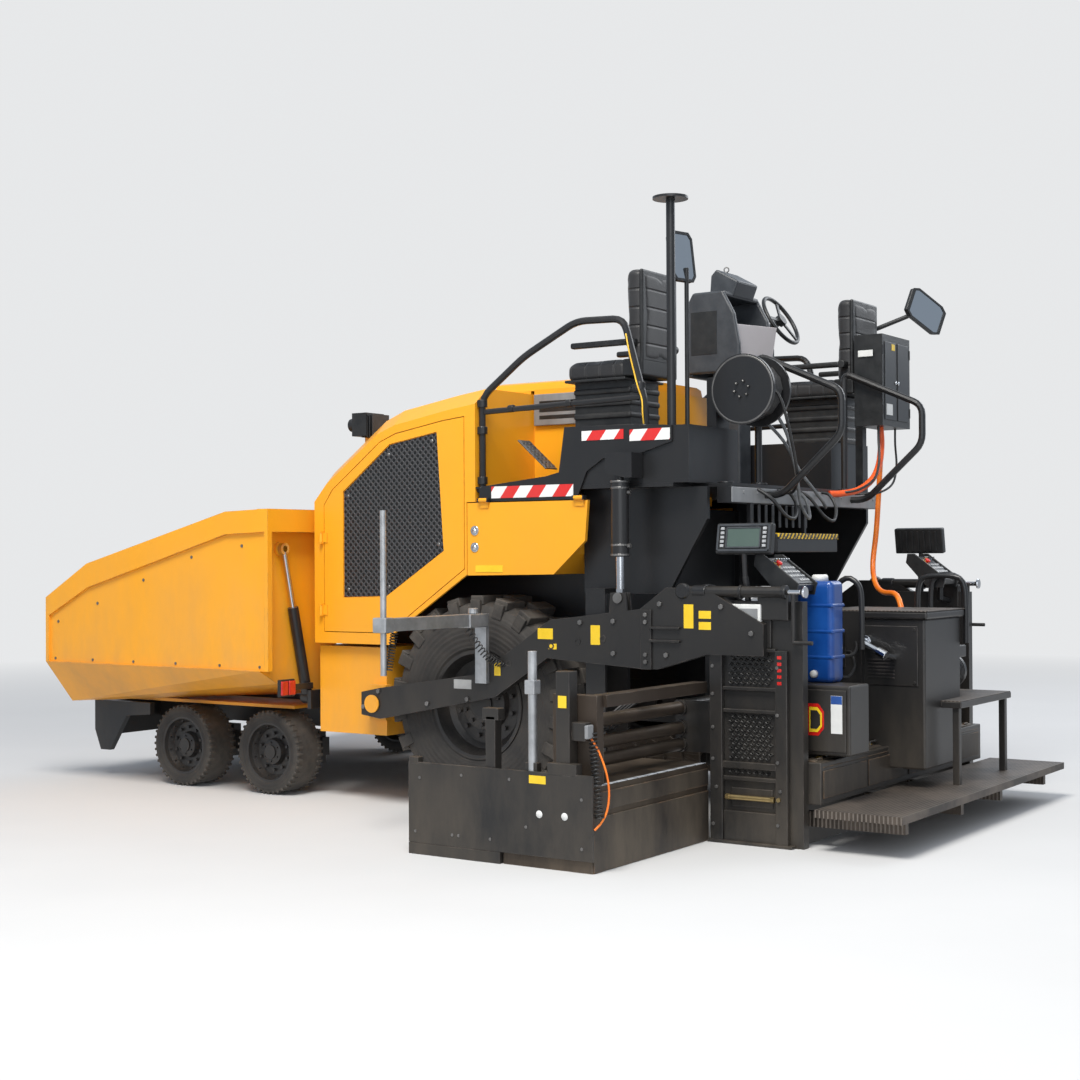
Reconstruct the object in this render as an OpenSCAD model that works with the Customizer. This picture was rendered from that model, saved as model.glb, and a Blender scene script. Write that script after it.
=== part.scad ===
// Wheeled asphalt paver with a front-mounted extending screed.
// The front faces -Y, the machine's left side is +X, the ground is z = 0.
// All sizes are in millimetres.

/* [Overall] */
// Front of the push rollers, ahead of the origin
front_reach = 3118; // [3080:1:3200]
// Rear edge of the walkway, behind the origin
rear_reach = 3118; // [3080:1:3200]

/* [Rear wheels] */
// Place of the rear axle along the machine
rear_axle_y = 380; // [360:1:400]
// Outer diameter of the rear tyres over their lugs
rear_tyre_d = 1314; // [1290:2:1330]
// Width of the rear tyres
rear_tyre_w = 440; // [420:2:450]
// Outer side face of the rear tyres
rear_face_x = 1226; // [1220:1:1230]
// Rim diameter of the rear tyres
rear_rim_d = 640; // [600:2:680]

/* [Front wheels] */
// Middle of the front bogies along the machine
bogie_y = -1673; // [-1690:1:-1660]
// Distance between the two wheels of one bogie
bogie_pitch = 788; // [770:1:810]
// Outer diameter of the solid front tyres
front_tyre_d = 548; // [540:2:556]
// Width of the solid front tyres
front_tyre_w = 250; // [230:2:260]
// Outer side face of the front tyres
front_face_x = 1263; // [1255:1:1270]
// Rim diameter of the front tyres
front_rim_d = 380; // [360:2:400]
// Kingpin of the front knuckles
kingpin_x = 930; // [925:1:935]

/* [Hopper] */
// Outer face of the hopper wings
wing_x = 1588; // [1570:1:1600]
// Rear face of the hopper wings
wing_rear_y = -960; // [-970:1:-955]
// Highest edge of the hopper wings
wing_top_z = 1852; // [1830:1:1870]
// Top of the wings at their front edge
wing_nose_z = 1276; // [1240:1:1300]
// Lower edge of the upright side wall
wing_waist_z = 830; // [810:1:850]
// Depth of the stepped rim along the top of a wing
wing_rim = 145; // [120:1:160]
// Thickness of the wing plates
wing_wall = 20; // [16:1:24]
// Hinge line of the wings, sideways
wing_hinge_x = 760; // [755:1:765]
// Hinge line of the wings, height
wing_hinge_z = 650; // [645:1:655]

/* [Frame] */
// Outer face of the main frame plates
frame_x = 735; // [720:1:745]
// Thickness of the main frame plates
frame_t = 30; // [24:1:36]
// Underside of the frame
frame_low_z = 400; // [380:1:420]
// Floor of the conveyor tunnel
floor_z = 590; // [580:1:600]

/* [Hood] */
// Outer face of the hood sides
hood_x = 1240; // [1232:1:1246]
// Front face of the hood
hood_front_y = -920; // [-925:1:-910]
// Rear edge of the wide part of the hood
hood_rear_y = 400; // [380:1:410]
// Height of the hood at its rear edge
hood_top_z = 2560; // [2540:1:2580]
// Half width of the flat top between the two slanted shoulders
hood_shoulder_x = 1110; // [1090:1:1130]
// Thickness of the hood panels
hood_wall = 18; // [14:1:22]
// Half width of the narrow rear part of the hood
hood_neck_x = 610; // [590:1:620]

/* [Deck] */
// Top of the operators' deck
deck_z = 1950; // [1930:1:1960]
// Rear edge of the deck
deck_rear_y = 2000; // [1980:1:2010]
// Outer face of the black deck side plates
deck_x = 1240; // [1232:1:1246]
// Diameter of the handrail tubes
rail_d = 42; // [38:1:48]

/* [Screed] */
// Side face of the main screed
screed_x = 1267; // [1255:1:1275]
// Front face of the main screed
screed_front_y = 2010; // [2000:1:2020]
// Rear face of the main screed
screed_rear_y = 2548; // [2530:1:2560]
// Top of the ladder columns at the ends of the main screed
column_z = 1300; // [1280:1:1320]
// Outer face of the end gates with both extensions run out
gate_x = 2459; // [2450:1:2470]
// Front end of the end gates
gate_front_y = 854; // [840:1:870]
// Top edge of the end gates
gate_z = 479; // [460:1:490]
// Middle plane of the tow arms
arm_x = 1300; // [1295:1:1305]
// Thickness of the tow arms
arm_t = 56; // [50:1:60]
// Tow point along the machine
tow_y = -330; // [-340:1:-320]
// Tow point height
tow_z = 640; // [630:1:650]
// Top of the walkway behind the screed
walk_z = 224; // [210:1:240]

/* [Hidden] */
$fn = 48;

yellow = "#f2a71b";
black = "#1b1c1e";
steel = "#6d6f72";
chrome = "#c9ccd0";
rubber = "#2a2725";

// Running and seating gaps
gap = 5;
seat_gap = 0.3;

// Front edge of the hopper wings, behind the push rollers
wing_front_y = 58 - front_reach;
rear_wheel_z = rear_tyre_d / 2;
front_wheel_z = front_tyre_d / 2;
side_names = [1, -1];

// Draws the children on both sides of the machine
module both() {
    children();
    mirror([1, 0, 0]) children();
}

// Draws the children on the left, or mirrored on the right
module side(s) {
    if (s > 0) children();
    else mirror([1, 0, 0]) children();
}

// A plate whose outline is drawn in (y, z) and which runs from x0 to x1
module yz_plate(x0, x1, outline) {
    translate([x0, 0, 0]) rotate([90, 0, 90]) linear_extrude(x1 - x0) polygon(outline);
}

// A plate whose outline is drawn in (x, z) and which runs from y0 to y1
module xz_plate(y0, y1, outline) {
    translate([0, y1, 0]) rotate([90, 0, 0]) linear_extrude(y1 - y0) polygon(outline);
}

// A block given by its low and high corners
module block(low, high) {
    translate(low) cube(high - low);
}

// A round bar between two points
module bar(from, to, d) {
    run = to - from;
    length = norm(run);
    translate(from)
        rotate([0, acos(run.z / length), atan2(run.y, run.x)])
            cylinder(d = d, h = length);
}

// Round bars along the machine's axes, from their low end
module bar_x(x0, x1, y, z, d) {
    translate([x0, y, z]) rotate([0, 90, 0]) cylinder(d = d, h = x1 - x0);
}
module bar_y(x, y0, y1, z, d) {
    translate([x, y0, z]) rotate([-90, 0, 0]) cylinder(d = d, h = y1 - y0);
}

// Swept tubes: corners are rounded, then a ring of points follows the path
function unit(v) = v / norm(v);
function rounded(p, r, n = 4) = [
    p[0],
    for (i = [1 : len(p) - 2])
        let (a = p[i] - unit(p[i] - p[i - 1]) * r, b = p[i] + unit(p[i + 1] - p[i]) * r)
            for (k = [0 : n])
                let (t = k / n) a * (1 - t) * (1 - t) + p[i] * 2 * t * (1 - t) + b * t * t,
    p[len(p) - 1]
];
function tangent(p, i) =
    i == 0 ? unit(p[1] - p[0]) :
    i == len(p) - 1 ? unit(p[i] - p[i - 1]) :
    unit(unit(p[i + 1] - p[i]) + unit(p[i] - p[i - 1]));
function flatten_to(n, t) = unit(n - t * (n * t));
function first_normal(t) = flatten_to(abs(t.z) < 0.9 ? [0, 0, 1] : [1, 0, 0], t);
module sweep_tube(p, d, sides = 10) {
    count = len(p);
    normals = [
        for (i = 0, n = first_normal(tangent(p, 0)); i < count;
            n = i + 1 < count ? flatten_to(n, tangent(p, i + 1)) : n, i = i + 1) n
    ];
    points = [
        for (i = [0 : count - 1])
            let (t = tangent(p, i), n = normals[i], b = cross(t, n))
                for (k = [0 : sides - 1])
                    p[i] + (n * cos(360 * k / sides) + b * sin(360 * k / sides)) * d / 2
    ];
    walls = [
        for (i = [0 : count - 2], k = [0 : sides - 1])
            let (m = (k + 1) % sides)
                [i * sides + k, (i + 1) * sides + k, (i + 1) * sides + m, i * sides + m]
    ];
    start = [[for (k = [0 : sides - 1]) k]];
    end = [[for (k = [0 : sides - 1]) (count - 1) * sides + sides - 1 - k]];
    polyhedron(points = points, faces = concat(walls, start, end));
}

// Small hinges: a barrel with a leaf on the door, and a pin in two ears beside it.
// Both stand at the origin with the pin along Z; the leaf points along +Y.
door_hinge_d = 26;
door_pin_d = 12;
door_hinge_h = 60;
module door_hinge_barrel(leaf) {
    difference() {
        union() {
            cylinder(d = door_hinge_d, h = door_hinge_h);
            block([-door_hinge_d / 2, 0, 0], [-door_hinge_d / 2 + 6, leaf, door_hinge_h]);
            block([-door_hinge_d / 2 - 2, 20, 0], [-door_hinge_d / 2 + 1, leaf, door_hinge_h]);
        }
        translate([0, 0, -1]) cylinder(d = door_pin_d + 2 * seat_gap, h = door_hinge_h + 2);
    }
}
module door_hinge_pin() {
    translate([0, 0, -9]) cylinder(d = door_pin_d, h = door_hinge_h + 18);
    for (z = [-9 - seat_gap, door_hinge_h + seat_gap])
        block([-door_hinge_d / 2 - 6, -door_hinge_d / 2, z], [door_hinge_d / 2, door_hinge_d / 2, z + 9]);
}

// Wheels

// A tyre with rounded shoulders, standing on its own axis along X
module tyre(d, w, rim_d, shoulder) {
    rotate([0, 90, 0]) rotate_extrude($fn = 64) polygon([
        [rim_d / 2, -w / 2 + 20],
        [rim_d / 2 + 30, -w / 2],
        [d / 2 - shoulder, -w / 2],
        [d / 2 - shoulder * 0.3, -w / 2 + shoulder * 0.3],
        [d / 2, -w / 2 + shoulder],
        [d / 2, w / 2 - shoulder],
        [d / 2 - shoulder * 0.3, w / 2 - shoulder * 0.3],
        [d / 2 - shoulder, w / 2],
        [rim_d / 2 + 30, w / 2],
        [rim_d / 2, w / 2 - 20]
    ]);
}

// A dished wheel disc with a hub ring, open to the outside, and a centre bore
module rim(rim_d, w, dish, hub_d, bore_d) {
    rotate([0, 90, 0]) rotate_extrude($fn = 64) polygon([
        [bore_d / 2, -dish],
        [rim_d / 2 - 40, -dish],
        [rim_d / 2 - 16, -w / 2 + 20],
        [rim_d / 2, -w / 2 + 20],
        [rim_d / 2, w / 2 - 20],
        [rim_d / 2 - 16, w / 2 - 20],
        [rim_d / 2 - 40, w / 2 - dish],
        [hub_d / 2, w / 2 - dish],
        [hub_d / 2 - 12, w / 2 - dish + 40],
        [bore_d / 2, w / 2 - dish + 40]
    ]);
}

rear_wheel_x = rear_face_x - rear_tyre_w / 2;
axle_d = 150;
module rear_wheel(s) {
    side(s) translate([rear_wheel_x, rear_axle_y, rear_wheel_z]) {
        color(rubber) tyre(rear_tyre_d, rear_tyre_w, rear_rim_d, 60);
        color(black) rim(rear_rim_d, rear_tyre_w, 90, 330, axle_d + 2 * seat_gap);
    }
}

front_wheel_x = front_face_x - front_tyre_w / 2;
stub_d = 90;
module front_wheel(s, n) {
    side(s) translate([front_wheel_x, bogie_y + (n - 1.5) * bogie_pitch, front_wheel_z]) {
        color(rubber) tyre(front_tyre_d, front_tyre_w, front_rim_d, 24);
        color(black) rim(front_rim_d, front_tyre_w, 50, 200, stub_d + 2 * seat_gap);
    }
}

// Steering knuckle: an upright kingpin barrel with a stub axle that carries the wheel
kingpin_d = 60;
knuckle_h = 150;
module knuckle(s, n) {
    side(s) translate([kingpin_x, bogie_y + (n - 1.5) * bogie_pitch, front_wheel_z])
        color(black) difference() {
            union() {
                translate([0, 0, -knuckle_h / 2]) cylinder(d = 110, h = knuckle_h);
                rotate([0, 90, 0]) cylinder(d = stub_d, h = front_wheel_x - kingpin_x + 100);
                block([-20, -150, -16], [20, 0, 16]);
            }
            translate([0, 0, -knuckle_h]) cylinder(d = kingpin_d + 1, h = 2 * knuckle_h);
        }
}

// The rocking bogie beams with their kingpin forks, and the rear axle with its final drives
bogie_beam_x = 790;
module axles() {
    color(black) {
        both() {
            block([bogie_beam_x - 35, bogie_y - bogie_pitch / 2 - 90, front_wheel_z - 60],
                [bogie_beam_x + 35, bogie_y + bogie_pitch / 2 + 90, front_wheel_z + 60]);
            bar_x(frame_x + seat_gap, bogie_beam_x, bogie_y, front_wheel_z + 130, 150);
            block([bogie_beam_x - 35, bogie_y - 90, front_wheel_z + 40],
                [bogie_beam_x + 35, bogie_y + 90, front_wheel_z + 130]);
            for (n = [1, 2]) translate([0, bogie_y + (n - 1.5) * bogie_pitch, front_wheel_z]) {
                block([bogie_beam_x - 35, -60, -110], [bogie_beam_x + 35, 60, 110]);
                for (z = [-1, 1]) translate([0, 0, z * (knuckle_h / 2 + gap + 15)]) {
                    translate([kingpin_x, 0, -15]) cylinder(d = 90, h = 30);
                    block([bogie_beam_x, -45, -15], [kingpin_x, 45, 15]);
                }
                translate([kingpin_x, 0, -knuckle_h / 2 - gap - 40])
                    cylinder(d = kingpin_d, h = knuckle_h + 2 * gap + 80);
            }
        }
    }
    both() color(black) {
        bar_x(frame_x + seat_gap, rear_wheel_x - rear_tyre_w / 2 + 100, rear_axle_y, rear_wheel_z, 300);
        bar_x(frame_x + seat_gap, rear_wheel_x + rear_tyre_w / 2 - 60, rear_axle_y, rear_wheel_z, axle_d);
    }
}

// Frame

// Side views of the lower and the upper main frame plate
frame_rear_y = 1150;
beam_rear_y = wing_front_y + 230;
beam_top_z = 540;
frame_split_z = 690;
frame_inner = frame_x - frame_t - seat_gap;
frame_outline = [
    [wing_front_y - 30, beam_top_z + seat_gap],
    [beam_rear_y + seat_gap, beam_top_z + seat_gap],
    [beam_rear_y + seat_gap, frame_low_z],
    [frame_rear_y - 120, frame_low_z],
    [frame_rear_y, frame_low_z + 120],
    [frame_rear_y, frame_split_z],
    [hood_front_y, frame_split_z],
    [hood_front_y, wing_hinge_z - 40],
    [wing_front_y - 30, wing_hinge_z - 40]
];
upper_frame_outline = [
    [hood_front_y + 2, frame_split_z + seat_gap],
    [hood_front_y + 60, 1050],
    [hood_rear_y, deck_z - 110],
    [frame_rear_y, deck_z - 110],
    [frame_rear_y, frame_split_z + seat_gap]
];
tower_y = [1150, 1900];
deck_t = 20;
tower_top_z = deck_z - deck_t - seat_gap;
lashing_d = 60;
lashing_at = [[beam_rear_y + 440, 490], [frame_rear_y - 65, 560]];
wing_foot = [1180, 640];
wing_foot_y = wing_rear_y - 40;
wing_pivot_d = 40;
hinge_pin_d = 30;
module main_frame() {
    color(black) {
        both() {
            // Lower frame plate with the lugs and the pin of the wing hinge
            difference() {
                yz_plate(frame_x - frame_t, frame_x, frame_outline);
                for (p = lashing_at)
                    bar_x(frame_x - frame_t - 1, frame_x + 1, p.x, p.y, lashing_d);
            }
            for (y = [wing_front_y - gap - 25, wing_rear_y + gap])
                block([frame_x - frame_t, y, wing_hinge_z - 60],
                    [wing_hinge_x + 30, y + 25, wing_hinge_z + 28]);
            bar_y(wing_hinge_x, wing_front_y - gap - 20, wing_rear_y + gap + 20,
                wing_hinge_z, hinge_pin_d);
            // Upper frame plate that carries the hood and the deck
            yz_plate(frame_x - frame_t, frame_x, upper_frame_outline);
            // Rear tower that carries the deck and the lift cylinders
            yz_plate(1080, 1110, [
                [tower_y[0] - 60, 1330], [tower_y[0] - 60, tower_top_z], [tower_y[1], tower_top_z],
                [tower_y[1], 1750], [1650, 1330]
            ]);
            block([frame_x + seat_gap, tower_y[0] - 60, 1330], [1081, tower_y[0] - 30, tower_top_z]);
            // Bracket and pin of a wing cylinder
            block([frame_x + seat_gap, wing_rear_y + gap, 572],
                [wing_foot.x + 50, hood_front_y - 6, 690]);
            block([frame_x + seat_gap, hood_front_y - 7, 600],
                [wing_foot.x - 60, hood_front_y + 40, 690]);
            bar_y(wing_foot.x, wing_foot_y - 32, wing_rear_y + 10, wing_foot.y, wing_pivot_d);
            // Outer hanger of the auger
            block([hanger_x, auger_y - 70, auger_z - 80], [hanger_x + 20, auger_y + 60, 1360]);
            block([1110 + seat_gap, auger_y - 70, 1330], [hanger_x + 1, auger_y + 60, 1360]);
            bar_x(auger_span[1] - 80, hanger_x + 4, auger_y, auger_z, auger_pin_d);
        }
        // Chain case of the auger drive
        block([-45, frame_rear_y - 61, auger_z - 100], [45, auger_y + 60, 1150 - seat_gap]);
        both() bar_x(40, auger_span[0] + 78, auger_y, auger_z, auger_pin_d);
        // Cross members
        block([-frame_inner, frame_rear_y - 60, 1150], [frame_inner, frame_rear_y - 30, deck_z - 110]);
        for (y = [-600, 200]) block([-frame_inner, y, engine_low.z - 60],
            [frame_inner, y + 60, engine_low.z - seat_gap]);
        for (y = [beam_rear_y + 230, -1300, 200]) block([-frame_inner, y, frame_low_z + 20],
            [frame_inner, y + 60, floor_z - 30]);
    }
}

// Yellow panels on the frame's sides, and the brackets and pins of the tow points
module side_panels() {
    color(yellow) both() {
        // Side rail over the front wheels
        block([frame_x + seat_gap, beam_rear_y + 130, 554], [1140, -1150, 574]);
        // Fuel and tool box between the bogie and the rear wheel
        block([frame_x + seat_gap, hood_front_y + 40 + seat_gap, 430], [1190, tow_y, 980]);
        // Tow point bracket
        block([1189, tow_y - 90, tow_z - 110], [1250, tow_y + 40, tow_z + 110]);
    }
    color(black) both() {
        bar_x(1250 + seat_gap, arm_x + arm_t / 2 + 8, tow_y, tow_z, tow_pin_d);
        bar_x(arm_x + arm_t / 2 + gap, arm_x + arm_t / 2 + 14, tow_y, tow_z, tow_pin_d + 30);
    }
}

tow_pin_d = 80;
auger_y = 1240;
auger_z = 330;
auger_pin_d = 60;
auger_span = [52, 1200];
hanger_x = auger_span[1] + 6;
hood_lamp = [890, -725];
lamp_z = [2330, 2480];
engine_low = [-420, -700, 1210];
engine_high = [420, 340, 2150];

// Conveyor floor with its slats
slat_pitch = 200;
module conveyor() {
    color(steel) {
        block([-frame_x + frame_t + seat_gap, wing_front_y + 80, floor_z - 20],
            [frame_x - frame_t - seat_gap, frame_rear_y - 62, floor_z]);
        for (y = [wing_front_y + 160 : slat_pitch : frame_rear_y - 110]) both()
            block([40, y, floor_z], [frame_x - frame_t - 30, y + 40, floor_z + 30]);
    }
}

// Push beam with the bearing plates of its two rollers
roller_d = 170;
roller_z = 430;
roller_y = -front_reach + roller_d / 2;
roller_span = [60, 620];
module push_beam() {
    color(black) {
        block([-1190, roller_y + roller_d / 2 + 20, 300], [1190, beam_rear_y, beam_top_z]);
        both() {
            for (x = [roller_span[0] - 40, roller_span[1] + gap]) yz_plate(x, x + 30, [
                [roller_y - 60, roller_z - 60], [roller_y - 60, roller_z + 60],
                [roller_y + 110, roller_z + 90], [roller_y + 110, roller_z - 90]
            ]);
            bar_x(roller_span[0] - 15, roller_span[1] + 20, roller_y, roller_z, 50);
            // Corner bracket with its cut-away foot
            yz_plate(1160, 1200, [
                [roller_y + 30, 330], [roller_y + 30, beam_top_z], [beam_rear_y + 390, beam_top_z],
                [beam_rear_y + 390, 460], [beam_rear_y + 150, 440], [beam_rear_y - 20, 190],
                [roller_y + 90, 190]
            ]);
        }
    }
}
module push_roller(s) {
    side(s) color(steel) difference() {
        bar_x(roller_span[0], roller_span[1], roller_y, roller_z, roller_d);
        bar_x(roller_span[0] - 1, roller_span[1] + 1, roller_y, roller_z, 51);
    }
}

// Hopper wings

// Side view of a wing's top edge, front to rear
wing_top = [
    [wing_front_y, wing_nose_z], [wing_front_y + 420, 1510], [wing_rear_y - 370, 1840],
    [wing_rear_y, wing_top_z]
];
wing_side_outline = concat(wing_top, [
    [wing_rear_y, wing_waist_z], [wing_front_y, wing_waist_z]
]);
wing_foot_x = 1340;
wing_foot_front_z = 540;
wing_foot_rear_z = 740;
wing_recess = 80;
wing_panel_t = 40;
wing_back_y = wing_rear_y - wing_recess;
// A slice of a wing plate, for hulls between its front and its rear
module thin_section(y, outline) {
    xz_plate(y, y + 1, outline);
}
module hopper_wing(s) {
    side(s) color(yellow) difference() {
        union() {
            // Upright side wall with its stepped rim
            yz_plate(wing_x - wing_panel_t, wing_x - wing_panel_t + wing_wall, wing_side_outline);
            difference() {
                yz_plate(wing_x - wing_panel_t + 1, wing_x, wing_side_outline);
                yz_plate(wing_x - wing_panel_t + wing_wall, wing_x + 1, [
                    [wing_front_y + 30, wing_nose_z - wing_rim + 20],
                    [wing_front_y + 420, 1510 - wing_rim - 20], [wing_rear_y - 370, 1840 - wing_rim],
                    [wing_rear_y - 30, wing_top_z - wing_rim],
                    [wing_rear_y - 30, wing_waist_z + 2], [wing_front_y + 30, wing_waist_z + 2]
                ]);
            }
            // Slanted lower wall
            hull() {
                thin_section(wing_front_y, [
                    [wing_x - 30, wing_waist_z + 2], [wing_x, wing_waist_z + 2],
                    [wing_foot_x + 14, wing_foot_front_z], [wing_foot_x - 10, wing_foot_front_z + 14]
                ]);
                thin_section(wing_back_y - 1, [
                    [wing_x - 30, wing_waist_z + 2], [wing_x, wing_waist_z + 2],
                    [wing_foot_x + 80, wing_foot_rear_z], [wing_foot_x + 56, wing_foot_rear_z + 14]
                ]);
            }
            // Floor from the hinge to the foot of the slanted wall
            hull() {
                thin_section(wing_front_y, [
                    [wing_hinge_x, wing_hinge_z - 8], [wing_hinge_x, wing_hinge_z + 8],
                    [wing_foot_x + 2, wing_foot_front_z + 16], [wing_foot_x + 2, wing_foot_front_z]
                ]);
                thin_section(wing_back_y - 1, [
                    [wing_hinge_x, wing_hinge_z - 8], [wing_hinge_x, wing_hinge_z + 8],
                    [wing_foot_x + 68, wing_foot_rear_z + 16], [wing_foot_x + 68, wing_foot_rear_z]
                ]);
            }
            bar_y(wing_hinge_x, wing_front_y, wing_rear_y, wing_hinge_z, 56);
            // Rear wall, its top rim and the ear of the lifting cylinder
            xz_plate(wing_back_y - wing_wall, wing_back_y, [
                [wing_hinge_x, wing_hinge_z], [wing_foot_x + 70, wing_foot_rear_z + 4],
                [wing_x - 20, wing_waist_z], [wing_x - 20, wing_top_z - 20], [1090, wing_top_z - 10]
            ]);
            xz_plate(wing_back_y - wing_wall, wing_rear_y, [
                [wing_x - 10, wing_top_z - wing_rim], [wing_x - 10, wing_top_z], [1090, wing_top_z],
                [1060, wing_top_z - wing_rim]
            ]);
            bar_y(wing_pin.x, wing_back_y - 1, wing_back_y + 18, wing_pin.y, 90);
        }
        bar_y(wing_hinge_x, wing_front_y - 1, wing_rear_y + 1, wing_hinge_z, hinge_pin_d + 1);
    }
}

// Hydraulic cylinders that lift the wings, lying in the recess behind the rear wall
wing_pin = [1400, 1600];
wing_ram = unit([wing_pin.x - wing_foot.x, 0, wing_pin.y - wing_foot.y]);
wing_ram_length = norm(wing_pin - wing_foot);
wing_barrel = 600;
wing_rod_length = 850;
wing_rod_d = 36;
module wing_cylinder(s) {
    foot = [wing_foot.x, wing_foot_y, wing_foot.y];
    side(s) color(black) difference() {
        union() {
            bar(foot + wing_ram * 30, foot + wing_ram * wing_barrel, 70);
            bar_y(foot.x, foot.y - 30, foot.y + 30, foot.z, 76);
        }
        bar(foot + wing_ram * 70, foot + wing_ram * (wing_barrel + 1), wing_rod_d + 1);
        bar_y(foot.x, foot.y - 31, foot.y + 31, foot.z, wing_pivot_d + 1);
    }
}
module wing_rod(s) {
    foot = [wing_foot.x, wing_foot_y, wing_foot.y];
    side(s) color(chrome) {
        bar(foot + wing_ram * (wing_ram_length - wing_rod_length),
            foot + wing_ram * (wing_ram_length - 20), wing_rod_d);
        difference() {
            bar_y(wing_pin.x, foot.y - 15, foot.y + 15, wing_pin.y, 76);
            bar_y(wing_pin.x, foot.y - 16, foot.y + 16, wing_pin.y, 40);
        }
    }
}

// Hood

hood_side = [
    [hood_front_y, 1000], [hood_front_y, 1950], [-820, 2090], [-390, 2400], [-240, 2460],
    [180, 2530], [hood_rear_y, hood_top_z], [hood_rear_y, 1000]
];
hood_face = [
    [hood_front_y + 40, 1000], [hood_front_y + 40, 1900], [-780, 2010], [-360, 2310],
    [-220, 2360], [180, 2430], [hood_rear_y, 2460], [hood_rear_y, 1000]
];
door_y = [340, 1197];
grille_outline = [
    [-640, 1960], [-260, 2245], [110, 2305], [160, 1580], [-290, 1300], [-640, 1290]
];
side_door_outline = [
    [-800, 1070], [-800, 1880], [-730, 1975], [-340, 2262], [-215, 2310], [150, 2372],
    [320, 2390], [320, 1470], [-60, 1215], [-270, 1070]
];
grille_hinge = [hood_x + door_hinge_d / 2 + 1, -814];
grille_hinge_z = [1180, 1640];
service_hinge = [hood_x + door_hinge_d / 2 + 1, 1880];
service_hinge_y = [440, 1115];
module hood_solid(inset) {
    hull() {
        yz_plate(-hood_shoulder_x + inset * 0.6, hood_shoulder_x - inset * 0.6, [for (p = hood_side)
            [min(max(p.x, hood_front_y + inset), hood_rear_y - inset),
             p.y > 1100 ? p.y - inset * 1.1 : p.y - inset]]);
        yz_plate(-hood_x + inset, hood_x - inset, [for (p = hood_face)
            [min(max(p.x, hood_front_y + inset), hood_rear_y - inset),
             p.y > 1100 ? p.y - inset * 1.1 : p.y - inset]]);
    }
}
lid_z = 2590;
lid_y = [60, 960];
lid_x = 560;
module hood_shell() {
    color(yellow) {
        difference() {
            union() {
                hood_solid(0);
                block([-lid_x, lid_y[0], 2470], [lid_x, hood_rear_y, lid_z]);
            }
            hood_solid(hood_wall);
            // Room for the frame plates in the rear wall
            block([-frame_x - 20, hood_rear_y - 60, 999], [frame_x + 20, hood_rear_y + 1, 1860]);
            // Wheel arch and lower edge
            yz_plate(-hood_x - 1, hood_x + 1, [
                [-240, 900], [-240, 1065], [340, 1440], [hood_rear_y + 1, 1440],
                [hood_rear_y + 1, 900]
            ]);
            both() yz_plate(hood_x - 60, hood_x + 20, side_door_outline);
            // Room for the service door
            both() block([hood_x - 40, door_y[0] - gap, 1430],
                [hood_x + 1, hood_rear_y + 1, deck_z - 78]);
            // Openings under the lid and into the neck
            block([-lid_x + 30, lid_y[0] + 30, 2300], [lid_x - 30, hood_rear_y + 10, 2700]);
            block([-hood_neck_x + hood_wall, hood_rear_y - 60, 1900],
                [hood_neck_x - hood_wall, hood_rear_y + 10, 2700]);
        }
        // Narrow rear part between the two operators' footwells
        difference() {
            block([-hood_neck_x, hood_rear_y + seat_gap, deck_z - 80], [hood_neck_x, 1000, lid_z]);
            block([-hood_neck_x + hood_wall, hood_rear_y, deck_z - 120],
                [hood_neck_x - hood_wall, 1000 - hood_wall, lid_z + 1]);
        }
    }
    // Hinge pins of the grille doors
    color(yellow) both() for (z = grille_hinge_z) translate([grille_hinge.x, grille_hinge.y, z])
        door_hinge_pin();
    // Posts of the work lights
    color(black) both() bar([hood_lamp.x, hood_lamp.y, 2080],
        [hood_lamp.x, hood_lamp.y, lamp_z[0] - seat_gap], 40);
    // Box over the rear wheel behind the service door
    color(yellow) both() difference() {
        yz_plate(frame_x + seat_gap, hood_x - 30, [
            [door_y[0] + 66, 1440], [door_y[0] + 66, deck_z - 90], [tower_y[0] - 65, deck_z - 90],
            [tower_y[0] - 65, 1560], [950, 1440]
        ]);
        yz_plate(frame_x + 20, hood_x - 20, [
            [door_y[0] + 86, 1460], [door_y[0] + 86, deck_z - 110], [tower_y[0] - 85, deck_z - 110],
            [tower_y[0] - 85, 1570], [940, 1460]
        ]);
    }
}

module grille_door(s) {
    side(s) {
        color(yellow) difference() {
            translate([hood_x - hood_wall, 0, 0]) rotate([90, 0, 90]) linear_extrude(hood_wall)
                offset(delta = -gap) polygon(side_door_outline);
            yz_plate(hood_x - hood_wall + 8, hood_x + 1, grille_outline);
        }
        color(yellow) for (z = grille_hinge_z) translate([grille_hinge.x, grille_hinge.y, z])
            door_hinge_barrel(46);
    }
}

module service_hinge_place(y) {
    translate([service_hinge.x, y + door_hinge_h, service_hinge.y]) rotate([90, 0, 0])
        mirror([0, 1, 0]) children();
}
module service_door(s) {
    side(s) color(yellow) {
        yz_plate(hood_x - 24, hood_x, [
            [door_y[0], 1432], [door_y[0], deck_z - 84], [door_y[1], deck_z - 84],
            [door_y[1] - 20, 1632], [960, 1440]
        ]);
        for (y = service_hinge_y) service_hinge_place(y) door_hinge_barrel(46);
    }
}

module hood_lid() {
    color(yellow) difference() {
        xz_plate(lid_y[0], lid_y[1], [
            [-lid_x, lid_z + seat_gap], [-lid_x + 20, 2640], [-lid_x + 80, 2655], [lid_x - 80, 2655],
            [lid_x - 20, 2640], [lid_x, lid_z + seat_gap]
        ]);
        block([-lid_x + 100, lid_y[0] + 20, 2580], [lid_x - 100, lid_y[1] - 20, 2635]);
    }
}

module engine_block() {
    color(steel) block(engine_low, engine_high);
}

// Deck

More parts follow.
